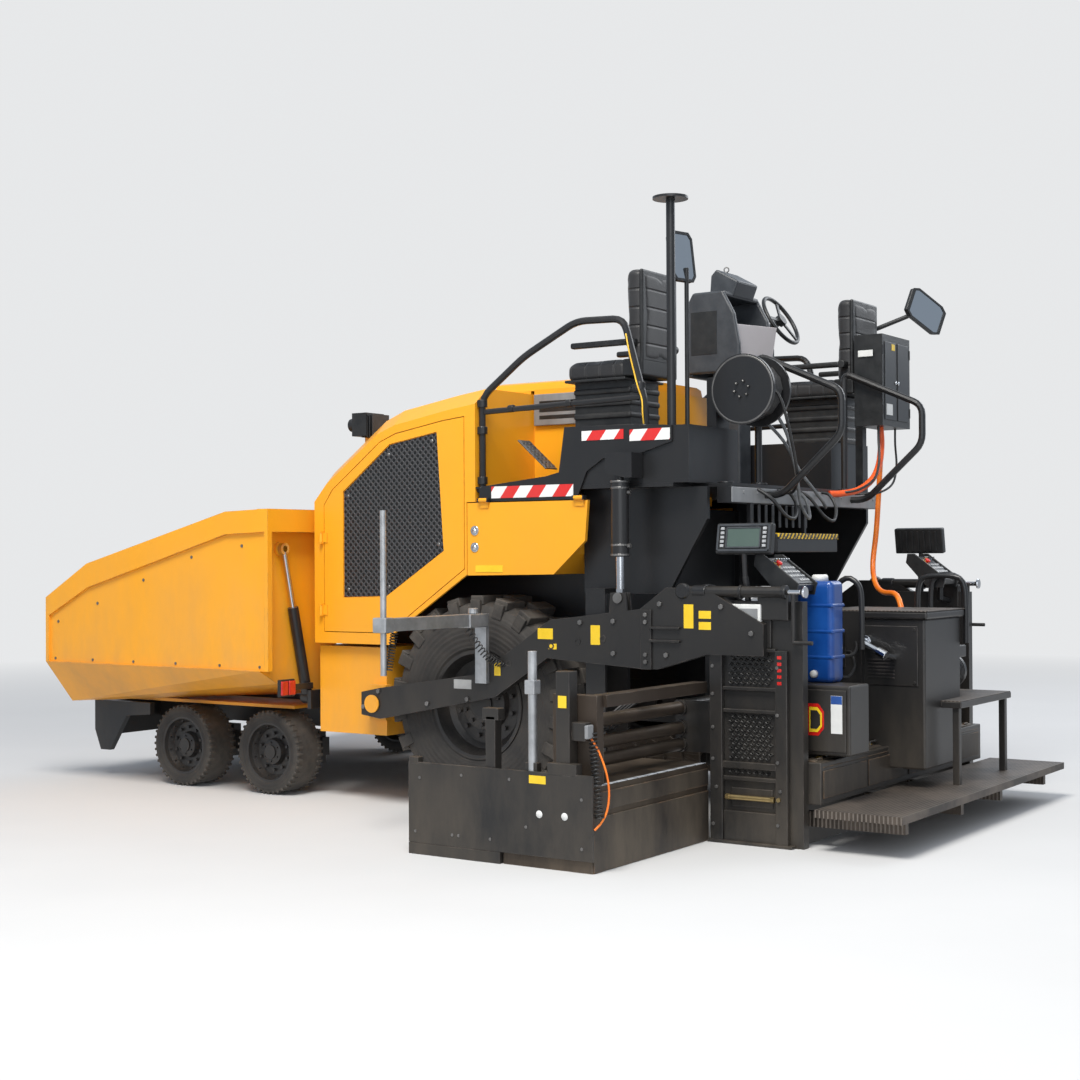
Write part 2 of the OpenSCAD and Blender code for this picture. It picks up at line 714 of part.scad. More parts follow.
plinth_z = 2270;
side_plate_outline = [
    [430, deck_z - 78], [430, deck_z + 10], [910, deck_z + 60], [1000, deck_z + 80],
    [1040, 2290], [1520, 2282], [1750, plinth_z], [1750, 2180], [1510, 2110], [1300, 2100],
    [1190, 2030], [1120, deck_z - 78]
];
module platform() {
    color(black) {
        // Deck plate with its rear beam
        difference() {
            union() {
                block([-deck_x + 14 + seat_gap, hood_rear_y + seat_gap, deck_z - deck_t], [deck_x - 14 - seat_gap, 1750, deck_z]);
                block([-1000, 1740, deck_z - deck_t], [1000, deck_rear_y, deck_z]);
            }
            block([-hood_neck_x - seat_gap, hood_rear_y, deck_z - 30],
                [hood_neck_x + seat_gap, 1000 + seat_gap, deck_z + 1]);
        }
        block([-1000, tower_y[1] + 4, deck_z - 110], [1000, deck_rear_y, deck_z - deck_t - seat_gap]);
        both() {
            // Side plate with the cut-out over the lift cylinder
            yz_plate(deck_x - 14, deck_x, side_plate_outline);
            // Plinth of a seat
            block([640, 1040, deck_z + seat_gap], [deck_x - 14 - seat_gap, 1850, plinth_z]);
            for (y = service_hinge_y) service_hinge_place(y) door_hinge_pin();
            // Head bracket of a lift cylinder
            block([deck_x - 5, lift_y + 62, lift_top_z - 80],
                [arm_x + 56, lift_y + 110, lift_top_z + 60]);
            for (span = [[deck_x - 5, arm_x - 30], [arm_x + 30, arm_x + 56]])
                yz_plate(span[0], span[1], [
                    [lift_y - 60, lift_top_z - 50], [lift_y - 60, lift_top_z + 60],
                    [lift_y + 70, lift_top_z + 60], [lift_y + 70, lift_top_z - 80]
                ]);
            bar_x(deck_x - 6, arm_x + 50, lift_y, lift_top_z, lift_pin_d);
        }
    }
}

module chevron_plates() {
    color("red") both() {
        block([deck_x + seat_gap, 520, deck_z - 60], [deck_x + 3, 1100, deck_z + 10]);
        block([deck_x + seat_gap, 1160, 2205], [deck_x + 3, 1440, 2260]);
        block([deck_x + seat_gap, 1480, 2190], [deck_x + 3, 1740, 2255]);
    }
}

rail_x = 1200;
left_rail = [
    [rail_x, 426, deck_z + seat_gap], [rail_x, 426, 2500], [rail_x, 730, 2720], [rail_x, 1100, 2900],
    [rail_x, 1420, 2890], [rail_x, 1560, 2400], [rail_x, 1560, plinth_z + seat_gap]
];
stair_rail = [
    [600, 1960, deck_z + seat_gap], [600, 1960, 2700], [600, 2480, 2470], [600, 2480, 2230],
    [600, deck_rear_y + 110, deck_z - 60], [600, deck_rear_y + seat_gap, deck_z - 60]
];
module handrails() {
    color(black) {
        both() sweep_tube(rounded(left_rail, 70), rail_d);
        both() sweep_tube([[rail_x, 426 + rail_d / 2 + seat_gap, 2410], [rail_x, 1548, 2440]],
            rail_d * 0.8);
        both() sweep_tube(rounded(stair_rail, 60), rail_d);
    }
}

seat_place = [[870, 1170], [-930, 1670]];
module seat_bases() {
    color(black) for (p = seat_place) translate([p.x, p.y, 0])
        for (k = [0 : 3]) translate([0, 0, plinth_z + seat_gap + k * 72])
            block([-160, -190, 0], [160, 190, 72]);
}
module seats() {
    color(black) for (p = seat_place) translate([p.x, p.y, plinth_z + 4 * 72 + 2 * seat_gap]) {
        block([-230, -240, 0], [230, 201, 120]);
        block([-230, 200, 60], [230, 310, 680]);
    }
}

module console() {
    color("#3a3d41") {
        block([-760, 1010, 2600], [-250, 1400, 3250]);
        block([-700, 1010, 3240], [-370, 1350, 3450]);
        block([-600, 1100, deck_z + seat_gap], [-440, 1300, 2601]);
        bar([-760, 1200, 2900], wheel_centre - wheel_axis * 90, 50);
        bar(wheel_centre - wheel_axis * 110, wheel_centre - wheel_axis * 20, 50);
    }
}

wheel_tilt = 60;
wheel_axis = [0, sin(wheel_tilt), cos(wheel_tilt)];
wheel_centre = [-990, 1330, 3130];
module steering_wheel() {
    color(black) translate(wheel_centre) rotate([-wheel_tilt, 0, 0]) {
        rotate_extrude() translate([180, 0]) circle(d = 28);
        translate([0, 0, -20 + seat_gap]) cylinder(d = 80, h = 40);
        for (a = [0, 120, 240]) rotate([0, 0, a]) translate([0, -12, -6]) cube([180, 24, 12]);
    }
}

mast_at = [1150, 1700];
module antenna_mast() {
    color(black) translate([mast_at.x, mast_at.y, 0]) {
        translate([0, 0, plinth_z + seat_gap]) cylinder(d = 50, h = 3540 - plinth_z);
        translate([0, 0, 3540]) cylinder(d = 200, h = 14);
    }
}

module mirrors() {
    color(black) {
        block([940, 1600, 3090], [1000, 1830, 3380]);
        bar([970, 1700, 3100], [970, 1700, plinth_z + seat_gap], 26);
        block([-1500, 1980, 3050], [-1460, 2300, 3320]);
        bar([-1480, 2000, 3200], [-1170, 1700, plinth_z + 16], 26);
        translate([-1170, 1700, plinth_z + seat_gap]) cylinder(d = 60, h = 20);
    }
}

module electrical_box() {
    color(black) {
        block([-1100, 2010, 2360], [-650, 2200, 2940]);
        block([-880, 1940, deck_z + seat_gap], [-820, 1990, 2420]);
        block([-880, 1940, 2380], [-820, 2020, 2420]);
    }
}

module hose_reel() {
    color(black) {
        bar_x(665, 875, 2000, 2480, 300);
        bar_x(660, 680, 2000, 2480, 400);
        bar_x(860, 880, 2000, 2480, 400);
        block([690, 1760, plinth_z + seat_gap], [850, 1820, 2560]);
        block([690, 1800, 2400], [850, 1900, 2520]);
    }
}

module work_lights() {
    color(black) both() block([hood_lamp.x - 90, hood_lamp.y - 60, lamp_z[0]],
        [hood_lamp.x + 90, hood_lamp.y + 60, lamp_z[1]]);
}

// Augers ahead of the screed
auger_d = 330;
module auger(s) {
    side(s) color(steel) difference() {
        union() {
            bar_x(auger_span[0], auger_span[1], auger_y, auger_z, 100);
            for (x = [140 : 150 : auger_span[1] - 10])
                bar_x(x - 8, x + 8, auger_y, auger_z, auger_d);
        }
        bar_x(auger_span[0] - 1, auger_span[0] + 90, auger_y, auger_z, auger_pin_d + 1);
        bar_x(auger_span[1] - 90, auger_span[1] + 1, auger_y, auger_z, auger_pin_d + 1);
    }
}

// Tow arms
arm_outline = [
    [tow_y - 90, tow_z + 70], [tow_y + 60, tow_z + 100], [470, 850], [750, 1020], [990, 1180],
    [1590, 1250], [1760, 1370], [2000, 1370], [2350, 1180], [2350, 1010], [2010, 1010],
    [1700, 920], [1590, 920], [970, 960], [600, 720], [tow_y + 60, tow_z - 90],
    [tow_y - 90, tow_z - 70]
];
module tow_arms() {
    color(black) both() difference() {
        yz_plate(arm_x - arm_t / 2, arm_x + arm_t / 2, arm_outline);
        bar_x(arm_x - arm_t, arm_x + arm_t, tow_y, tow_z, tow_pin_d + 1);
    }
    // Ears that hold the eye of the lift rod
    color(black) both() for (x = [-arm_t / 2, arm_t / 2 - 12])
        yz_plate(arm_x + x, arm_x + x + 12, [
            [lift_y - 60, 1200], [lift_y - 50, lift_eye_z + 30], [lift_y + 50, lift_eye_z + 30],
            [lift_y + 60, 1200]
        ]);
}

// Guide tubes of the extensions
guide_y = 1800;
guide_z = [510, 600, 710];
guide_d = 70;
guide_inner_x = 1100;
module screed_frame() {
    color(black) {
        // Main screed box and its sole
        block([-screed_x + 60, screed_front_y, 0], [screed_x - 60, screed_rear_y - 60, 330]);
        // Front wall with the guide tubes of the extensions
        block([-screed_x + 60, screed_front_y, 300], [screed_x - 60, screed_front_y + 30, 780]);
        both() difference() {
            union() {
                for (z = guide_z) bar_x(60, screed_x, guide_y, z, guide_d + 16);
                for (x = [100, 640, screed_x - 40])
                    block([x, guide_y - 30, guide_z[0] - 40], [x + 20, screed_front_y + 1, guide_z[2] + 40]);
            }
            for (z = guide_z) bar_x(59, screed_x + 1, guide_y, z, guide_d + 2 * seat_gap);
        }
        // Cross beam and machinery boxes
        block([-screed_x + 60, 2180, 900], [screed_x - 60, 2380, 1100]);
        block([-350, 2200, 330], [350, 2480, 1220]);
        // Ladder columns
        both() {
            block([screed_x - 60, screed_front_y, 0], [screed_x, screed_rear_y, column_z]);
            block([screed_x - 1, 2050, 1030], [arm_x - arm_t / 2 - seat_gap, 2320, 1170]);
        }
    }
}

module screed_walkway() {
    color("#5b4a3c") block([-screed_x - 60, screed_rear_y + 90, walk_z - 40],
        [screed_x + 60, rear_reach, walk_z]);
    color(black) both() for (x = [300, 1100])
        block([x, screed_rear_y - 60 + seat_gap, walk_z - 120], [x + 40, rear_reach - 60, walk_z - 39]);
}

module screed_controls() {
    color("#55585c") both() {
        translate([1180, 2200, 1550]) rotate([0, 0, -35]) block([-20, -150, 0], [20, 150, 210]);
        translate([1160, 2230, 1100 + seat_gap]) cylinder(d = 40, h = 480);
    }
}

module grade_sensor_arms() {
    color("#a9adb0") both() {
        block([arm_x + arm_t / 2 + seat_gap, 480, 800], [arm_x + arm_t / 2 + 30, 560, 1210]);
        block([arm_x + arm_t / 2 + seat_gap, 480, 1140], [2250, 560, 1210]);
        translate([2250, 520, 900]) cylinder(d = 34, h = 900);
    }
}

// Lift cylinders between the deck brackets and the tow arms
lift_y = 1450;
lift_top_z = 2060;
lift_eye_z = 1310;
lift_pin_d = 40;
lift_barrel = 520;
lift_rod_d = 50;
lift_rod_length = 350;
module lift_cylinder(s) {
    side(s) color(black) difference() {
        union() {
            translate([arm_x, lift_y, lift_top_z - lift_barrel])
                cylinder(d = 100, h = lift_barrel - 100);
            translate([arm_x, lift_y, lift_top_z - 101]) cylinder(d = 46, h = 101);
            bar_x(arm_x - 24, arm_x + 24, lift_y, lift_top_z, 96);
        }
        translate([arm_x, lift_y, lift_top_z - lift_barrel - 1])
            cylinder(d = lift_rod_d + 1, h = lift_barrel - 150);
        bar_x(arm_x - 25, arm_x + 25, lift_y, lift_top_z, lift_pin_d + 1);
    }
}
module lift_rod(s) {
    side(s) color(chrome) {
        translate([arm_x, lift_y, lift_eye_z + 50]) cylinder(d = lift_rod_d, h = lift_rod_length - 50);
        block([arm_x - 12, lift_y - 20, lift_eye_z], [arm_x + 12, lift_y + 20, lift_eye_z + 51]);
        bar_x(arm_x - 12, arm_x + 12, lift_y, lift_eye_z, 70);
    }
}

// Extensions and end gates
ext_y = [1450, 1980];
module extension(s) {
    side(s) {
        color("#5b4a3c") block([screed_x + 4, ext_y[0], 0], [gate_x - 20, ext_y[1], 420]);
        color(steel) for (z = guide_z)
            bar_x(guide_inner_x, gate_x - 120, guide_y, z, guide_d);
        color(black) block([gate_x - 160, 1700, 420], [gate_x - 100, 1960, 860]);
        color(black) block([screed_x + 4, 1900, 800], [gate_x - 160, 1980, 860]);
    }
}
module end_gate(s) {
    side(s) color(black) {
        block([gate_x - 20 + seat_gap, gate_front_y, 60], [gate_x, ext_y[1] + 12, gate_z]);
        block([gate_x - 90, gate_front_y, 0], [gate_x, ext_y[0] - 10, 60 - seat_gap]);
    }
}

main_frame();
side_panels();
axles();
conveyor();
push_beam();
hood_shell();
engine_block();
platform();
chevron_plates();
handrails();
seat_bases();
seats();
console();
antenna_mast();
mirrors();
electrical_box();
hose_reel();
work_lights();
steering_wheel();
rear_wheel(1);  // rear_wheel_left
rear_wheel(-1);  // rear_wheel_right
knuckle(1, 1);  // knuckle_1_left
knuckle(-1, 1);  // knuckle_1_right
knuckle(1, 2);  // knuckle_2_left
knuckle(-1, 2);  // knuckle_2_right
front_wheel(1, 1);  // front_wheel_1_left
front_wheel(-1, 1);  // front_wheel_1_right
front_wheel(1, 2);  // front_wheel_2_left
front_wheel(-1, 2);  // front_wheel_2_right
hopper_wing(1);  // hopper_wing_left
hopper_wing(-1);  // hopper_wing_right
wing_cylinder(1);  // wing_cylinder_left
wing_cylinder(-1);  // wing_cylinder_right
wing_rod(1);  // wing_rod_left
wing_rod(-1);  // wing_rod_right
push_roller(1);  // push_roller_left
push_roller(-1);  // push_roller_right
auger(1);  // auger_left
auger(-1);  // auger_right
tow_arms();
screed_frame();
screed_walkway();
screed_controls();
grade_sensor_arms();
lift_cylinder(1);  // lift_cylinder_left
lift_cylinder(-1);  // lift_cylinder_right
lift_rod(1);  // lift_rod_left
lift_rod(-1);  // lift_rod_right
extension(1);  // extension_left
extension(-1);  // extension_right
end_gate(1);  // end_gate_left
end_gate(-1);  // end_gate_right
hood_lid();
grille_door(1);  // grille_door_left
grille_door(-1);  // grille_door_right
service_door(1);  // service_door_left
service_door(-1);  // service_door_right
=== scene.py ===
import math

import bmesh
import bpy
from mathutils import Matrix, Quaternion, Vector


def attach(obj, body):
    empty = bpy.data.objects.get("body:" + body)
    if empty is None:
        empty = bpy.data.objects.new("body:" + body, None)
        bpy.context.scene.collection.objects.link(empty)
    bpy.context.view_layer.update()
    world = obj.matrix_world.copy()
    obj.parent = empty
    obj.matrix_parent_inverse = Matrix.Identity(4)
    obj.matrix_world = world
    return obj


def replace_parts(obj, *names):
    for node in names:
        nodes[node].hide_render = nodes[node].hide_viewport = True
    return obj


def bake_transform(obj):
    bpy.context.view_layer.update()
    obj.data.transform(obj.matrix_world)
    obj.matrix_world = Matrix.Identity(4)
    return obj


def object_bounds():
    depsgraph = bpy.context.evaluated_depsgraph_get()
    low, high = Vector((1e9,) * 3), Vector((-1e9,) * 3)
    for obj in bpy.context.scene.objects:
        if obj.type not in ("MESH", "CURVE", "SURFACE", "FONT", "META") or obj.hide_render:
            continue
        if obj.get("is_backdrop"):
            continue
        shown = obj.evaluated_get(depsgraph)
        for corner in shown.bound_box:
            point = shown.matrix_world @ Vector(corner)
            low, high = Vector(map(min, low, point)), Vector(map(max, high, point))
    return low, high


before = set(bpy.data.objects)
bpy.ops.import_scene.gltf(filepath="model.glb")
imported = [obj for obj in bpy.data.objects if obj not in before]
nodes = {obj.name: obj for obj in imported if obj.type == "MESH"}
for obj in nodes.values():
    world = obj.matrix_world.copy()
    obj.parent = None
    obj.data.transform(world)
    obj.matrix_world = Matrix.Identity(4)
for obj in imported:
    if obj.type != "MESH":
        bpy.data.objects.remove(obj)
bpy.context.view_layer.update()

# Camera: it stands behind the left rear corner at eye height,
# and looks forward and across the machine with a mild telephoto lens.
yaw, pitch, roll = math.radians(34.23), math.radians(-0.489), math.radians(-0.305)
line_of_sight = Vector((-math.cos(yaw) * math.cos(pitch), -math.sin(yaw) * math.cos(pitch), -math.sin(pitch)))
camera_data = bpy.data.cameras.new("camera")
camera_data.lens = 56.25
camera_data.sensor_width = 36
camera = bpy.data.objects.new("camera", camera_data)
camera.location = (9.363, 6.393, 1.556)
camera.rotation_mode = "QUATERNION"
camera.rotation_quaternion = line_of_sight.to_track_quat("-Z", "Y") @ Quaternion((0, 0, 1), roll)
bpy.context.scene.collection.objects.link(camera)
bpy.context.scene.camera = camera


# Cables and hoses: orange conduits from the electrical box, rubber hoses below the hose reel and
# at the screed, curled sensor cords on the arms and end gates. Each is a smooth tube on a route.
def add_node(tree, kind, inputs=None, **settings):
    made = tree.nodes.new(kind)
    for key, value in settings.items():
        setattr(made, key, value)
    for key, value in (inputs or {}).items():
        if isinstance(value, bpy.types.NodeSocket):
            tree.links.new(value, made.inputs[key])
        else:
            made.inputs[key].default_value = value
    return made


def add_surface(tree, inputs):
    shader = add_node(tree, "ShaderNodeBsdfPrincipled", inputs)
    add_node(tree, "ShaderNodeOutputMaterial", {"Surface": shader.outputs[0]})


def new_material(name):
    material = bpy.data.materials.new(name)
    material.use_nodes = True
    material.node_tree.nodes.clear()
    return material, material.node_tree


def moulded(name, low, high, rough, scale=40.0, bump=0.25, depth=0.0008, stretch=(1, 1, 1), metal=0.0, coat=0.0):
    """Cloudy tone between two colours with a fine grain, for plastic, rubber and cast metal."""
    material, tree = new_material(name)
    place = add_node(tree, "ShaderNodeTexCoord")
    turned_place = add_node(tree, "ShaderNodeMapping", {"Vector": place.outputs["Object"], "Scale": stretch})
    soft = add_node(tree, "ShaderNodeTexNoise", {"Vector": turned_place.outputs[0], "Scale": scale * 0.12,
                    "Detail": 8.0, "Roughness": 0.6})
    fine = add_node(tree, "ShaderNodeTexNoise", {"Vector": turned_place.outputs[0], "Scale": scale * 6,
                    "Detail": 3.0})
    ramp = add_node(tree, "ShaderNodeMapRange", {"Value": soft.outputs["Fac"], "From Min": 0.35, "From Max": 0.65})
    colour = add_node(tree, "ShaderNodeMix", data_type="RGBA")
    tree.links.new(ramp.outputs[0], colour.inputs[0])
    colour.inputs[6].default_value = (*low, 1)
    colour.inputs[7].default_value = (*high, 1)
    roughness = add_node(tree, "ShaderNodeMapRange", {"Value": soft.outputs["Fac"], "To Min": rough * 0.8,
                         "To Max": min(1.0, rough * 1.25)})
    bumped = add_node(tree, "ShaderNodeBump", {"Height": fine.outputs["Fac"], "Strength": bump, "Distance": depth})
    add_surface(tree, {"Base Color": colour.outputs[2], "Roughness": roughness.outputs[0], "Metallic": metal,
                       "Coat Weight": coat, "Normal": bumped.outputs[0]})
    return material


def smooth_route(corners, count):
    """Points at even steps on a smooth line through the corners."""
    corners = [Vector(c) for c in corners]
    ends = [2 * corners[0] - corners[1], *corners, 2 * corners[-1] - corners[-2]]
    fine = []
    for a, b, c, d in zip(ends, ends[1:], ends[2:], ends[3:]):
        for k in range(24):
            t = k / 24
            fine.append(0.5 * (2 * b + (c - a) * t + (2 * a - 5 * b + 4 * c - d) * t * t
                               + (3 * b - a - 3 * c + d) * t ** 3))
    fine.append(corners[-1])
    reach = [0.0]
    for a, b in zip(fine, fine[1:]):
        reach.append(reach[-1] + (b - a).length)
    points, k = [], 0
    for step in range(count):
        want = reach[-1] * step / (count - 1)
        while k < len(fine) - 2 and reach[k + 1] < want:
            k += 1
        share = (want - reach[k]) / max(reach[k + 1] - reach[k], 1e-9)
        points.append(fine[k].lerp(fine[k + 1], min(max(share, 0), 1)))
    return points


def curled_route(start, end, turns, radius, sag=0.0):
    """A cord wound into an even spring, which starts and ends on its own rim."""
    start, end = Vector(start), Vector(end)
    axis = (end - start).normalized()
    side = axis.cross(Vector((0.3, 1, 0.2))).normalized()
    other = axis.cross(side)
    points = []
    steps = turns * 14
    for k in range(steps + 1):
        t = k / steps
        middle = start.lerp(end, t) - Vector((0, 0, sag * 4 * t * (1 - t)))
        a = 2 * math.pi * turns * t
        points.append(middle + (side * (math.cos(a) - 1) + other * math.sin(a)) * radius)
    return points


def cord_curve(name, points, diameter, material, body):
    curve = bpy.data.curves.new(name, "CURVE")
    curve.dimensions = "3D"
    curve.bevel_depth = diameter / 2
    curve.bevel_resolution = 3
    curve.use_fill_caps = True
    spline = curve.splines.new("POLY")
    spline.points.add(len(points) - 1)
    for given, p in zip(spline.points, points):
        given.co = (*p, 1)
    spline.use_smooth = True
    piece = bpy.data.objects.new(name, curve)
    bpy.context.scene.collection.objects.link(piece)
    curve.materials.append(material)
    if body:
        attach(piece, body)
    return piece


def mesh_of(curve_piece):
    """The same tube as a plain mesh, for a hoop or for a cord that runs between two bodies."""
    name = curve_piece.name
    mesh = bpy.data.meshes.new_from_object(curve_piece)
    curve_piece.name = name + "_line"
    bpy.data.objects.remove(curve_piece)
    piece = bpy.data.objects.new(name, mesh)
    mesh.name = name
    bpy.context.scene.collection.objects.link(piece)
    return piece


def lay_cord(name, route, diameter, finish, body):
    """A cord on one body, laid along the given route."""
    piece = cord_curve(name, route, diameter, finish, body)


SIDES = (("left", 1), ("right", -1))
orange_conduit = moulded("orange_conduit", (0.80, 0.15, 0.012), (0.95, 0.24, 0.02), 0.38, scale=60)
red_conduit = moulded("red_orange_conduit", (0.72, 0.07, 0.012), (0.88, 0.13, 0.02), 0.36, scale=60)
black_rubber = moulded("hose_rubber", (0.012, 0.012, 0.013), (0.03, 0.029, 0.028), 0.45, scale=80, bump=0.4)
grey_hose = moulded("braided_grey_hose", (0.10, 0.105, 0.11), (0.17, 0.175, 0.18), 0.42, scale=120, bump=0.5)
yellow_sleeve = moulded("yellow_sleeve", (0.75, 0.42, 0.02), (0.88, 0.55, 0.05), 0.45, scale=120, bump=0.5)

supply_route = smooth_route([(-0.85, 2.10, 2.3595), (-0.85, 2.10, 2.20), (-0.84, 2.09, 1.95), (-0.82, 2.08, 1.70),
                             (-0.76, 2.08, 1.48), (-0.66, 2.14, 1.36), (-0.54, 2.24, 1.31), (-0.45, 2.36, 1.30),
                             (-0.39, 2.42, 1.22), (-0.365, 2.44, 1.12), (-0.3505, 2.44, 1.02)], 40)
supply = mesh_of(cord_curve("supply_conduit", supply_route, 0.034, orange_conduit, None))
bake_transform(supply)

for name, corners, diameter, finish, body in (
    ("deck_conduit", [(-0.80, 2.12, 2.3595), (-0.79, 2.13, 2.25), (-0.73, 2.14, 2.12), (-0.62, 2.14, 2.02),
                      (-0.48, 2.11, 1.95), (-0.36, 2.05, 1.925), (-0.27, 2.001, 1.92)], 0.042, red_conduit, "machine"),
    ("reel_hose_1", [(0.640, 2.047, 2.402), (0.60, 2.085, 2.34), (0.54, 2.12, 2.22), (0.50, 2.15, 2.02),
                     (0.44, 2.15, 1.84), (0.32, 2.14, 1.76), (0.22, 2.10, 1.79), (0.17, 2.05, 1.88),
                     (0.17, 2.001, 1.92)], 0.020, grey_hose, "machine"),
    ("reel_hose_2", [(0.6590, 1.97, 2.36), (0.60, 1.99, 2.33), (0.49, 2.07, 2.20), (0.40, 2.12, 2.04),
                     (0.27, 2.15, 1.93), (0.10, 2.14, 1.85), (0.00, 2.10, 1.83), (-0.06, 2.05, 1.88),
                     (-0.08, 2.001, 1.92)], 0.020, grey_hose, "machine"),
    ("reel_hose_3", [(0.80, 2.151, 2.48), (0.80, 2.19, 2.44), (0.77, 2.215, 2.34), (0.68, 2.22, 2.14),
                     (0.59, 2.20, 1.99), (0.51, 2.14, 1.915), (0.46, 2.07, 1.905), (0.45, 2.001, 1.92)], 0.018,
     black_rubber, "machine"),
    ("arm_hose", [(1.2715, 1.905, 1.33), (1.235, 1.915, 1.37), (1.17, 1.95, 1.38), (1.09, 2.02, 1.34),
                  (0.99, 2.09, 1.27), (0.88, 2.14, 1.20), (0.76, 2.18, 1.165), (0.65, 2.22, 1.14),
                  (0.60, 2.24, 1.1005)], 0.014, black_rubber, "screed"),
    ("rail_cable", [(1.2195, 1.446, 2.80), (1.235, 1.475, 2.70), (1.233, 1.50, 2.60), (1.236, 1.53, 2.50),
                    (1.232, 1.556, 2.42), (1.24, 1.565, 2.34), (1.2195, 1.56, 2.285)], 0.009,
     yellow_sleeve, "machine"),
):
    lay_cord(name, smooth_route(corners, 36), diameter, finish, body)

for name, corners, diameter, body in (
    ("deck_hose_1", [(0.40, 2.001, 1.925), (0.41, 2.06, 1.91), (0.44, 2.12, 1.84), (0.52, 2.15, 1.76),
                     (0.62, 2.14, 1.77), (0.68, 2.09, 1.86), (0.70, 2.001, 1.925)], 0.022, "machine"),
    ("deck_hose_2", [(-0.16, 2.001, 1.925), (-0.15, 2.06, 1.91), (-0.11, 2.12, 1.83), (-0.01, 2.15, 1.75),
                     (0.09, 2.13, 1.78), (0.14, 2.07, 1.88), (0.15, 2.001, 1.925)], 0.020, "machine"),
    ("cabinet_hose", [(-0.70, 2.15, 2.3595), (-0.70, 2.15, 2.27), (-0.66, 2.17, 2.14), (-0.56, 2.18, 2.02),
                      (-0.42, 2.14, 1.95), (-0.36, 2.06, 1.93), (-0.36, 2.001, 1.93)], 0.016, "machine"),
    ("cabinet_hose_2", [(-1.02, 2.13, 2.3595), (-1.02, 2.13, 2.26), (-0.99, 2.15, 2.12), (-0.90, 2.16, 2.00),
                        (-0.76, 2.13, 1.94), (-0.68, 2.06, 1.93), (-0.66, 2.001, 1.93)], 0.014, "machine"),
    ("beam_hose_1", [(0.30, 2.3805, 1.06), (0.33, 2.43, 1.05), (0.40, 2.47, 1.01), (0.48, 2.48, 0.98),
                     (0.56, 2.46, 0.98), (0.62, 2.42, 1.01), (0.65, 2.3805, 1.04)], 0.018, "screed"),
    ("beam_hose_2", [(0.34, 2.3805, 0.99), (0.37, 2.43, 0.98), (0.45, 2.48, 0.91), (0.57, 2.49, 0.86),
                     (0.68, 2.46, 0.89), (0.74, 2.41, 0.95), (0.75, 2.3805, 0.99)], 0.018, "screed"),
):
    lay_cord(name, smooth_route(corners, 30), diameter, black_rubber, body)

curled_diameter = 0.007
for name, start, end, turns, radius, sag in (
    ("arm_curled_cord", (1.52, 0.52, 1.139), (1.3285, 0.66, 0.90), 16, 0.021, 0.06),
    ("post_curled_cord", (2.18, 0.52, 1.139), (2.233, 0.52, 0.93), 14, 0.019, 0.0),
):
    lay_cord(name, curled_route(start, end, turns, radius, sag), curled_diameter, black_rubber, "screed")

for side, sx in SIDES:
    curled = curled_route((2.385, 1.931, 0.69), (2.437, 2.004, 0.27), 22, 0.021)
    lay_cord("gate_curled_cord_" + side, [Vector((sx * p.x, p.y, p.z)) for p in curled], curled_diameter,
             black_rubber, "extension_" + side)
    straight = smooth_route([(2.38, 1.931, 0.66), (2.37, 1.97, 0.60), (2.362, 2.01, 0.50), (2.363, 2.03, 0.40),
                             (2.38, 2.03, 0.31), (2.41, 2.015, 0.25), (2.4385, 1.9925, 0.215)], 24)
    lay_cord("gate_cable_" + side, [Vector((sx * p.x, p.y, p.z)) for p in straight], 0.011, orange_conduit,
             "extension_" + side)


# Studio: a pale floor that runs far out, a pale world round it, a large soft lamp
# high on the sunny side, a weak fill from behind the camera and one on the far side.
def maths(tree, operation, first, second=None, **settings):
    """One arithmetic step on a value of the surface."""
    inputs = {0: first} if second is None else {0: first, 1: second}
    return add_node(tree, "ShaderNodeMath", inputs, operation=operation, **settings)


floor_mesh = bpy.data.meshes.new("floor")
shape = bmesh.new()
bmesh.ops.create_grid(shape, x_segments=2, y_segments=2, size=400)
shape.to_mesh(floor_mesh)
shape.free()
floor = bpy.data.objects.new("floor", floor_mesh)
bpy.context.scene.collection.objects.link(floor)
floor_material, tree = new_material("studio_floor")
place = add_node(tree, "ShaderNodeTexCoord")
grain = add_node(tree, "ShaderNodeTexNoise", {"Vector": place.outputs["Object"], "Scale": 0.8, "Detail": 6.0})
tone = add_node(tree, "ShaderNodeMapRange", {"Value": grain.outputs["Fac"], "To Min": 0.60, "To Max": 0.65})
floor_shader = add_node(tree, "ShaderNodeBsdfPrincipled", {"Roughness": 0.9, "Base Color": tone.outputs["Result"],
                        "Specular IOR Level": 0.1})
pale = add_node(tree, "ShaderNodeEmission", {"Color": (0.80, 0.81, 0.82, 1), "Strength": 1.0})
away = add_node(tree, "ShaderNodeVectorMath", {0: place.outputs["Object"]}, operation="LENGTH")
fade = add_node(tree, "ShaderNodeMapRange", {"Value": away.outputs["Value"], "From Min": 5.0, "From Max": 16.0})
light_path = add_node(tree, "ShaderNodeLightPath")
mirrored = maths(tree, "MAXIMUM", light_path.outputs["Is Glossy Ray"], light_path.outputs["Is Transmission Ray"])
mirrored_half = maths(tree, "MULTIPLY", mirrored.outputs[0], 0.35)
far_seen = maths(tree, "MULTIPLY", fade.outputs[0], light_path.outputs["Is Camera Ray"])
share = maths(tree, "MAXIMUM", mirrored_half.outputs[0], far_seen.outputs[0])
mixed = add_node(tree, "ShaderNodeMixShader", {0: share.outputs[0], 1: floor_shader.outputs[0], 2: pale.outputs[0]})
add_node(tree, "ShaderNodeOutputMaterial", {"Surface": mixed.outputs[0]})
floor_mesh.materials.append(floor_material)
floor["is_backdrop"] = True

world = bpy.data.worlds.new("studio")
bpy.context.scene.world = world
world.use_nodes = True
tree = world.node_tree
tree.nodes.clear()
light_path = add_node(tree, "ShaderNodeLightPath")
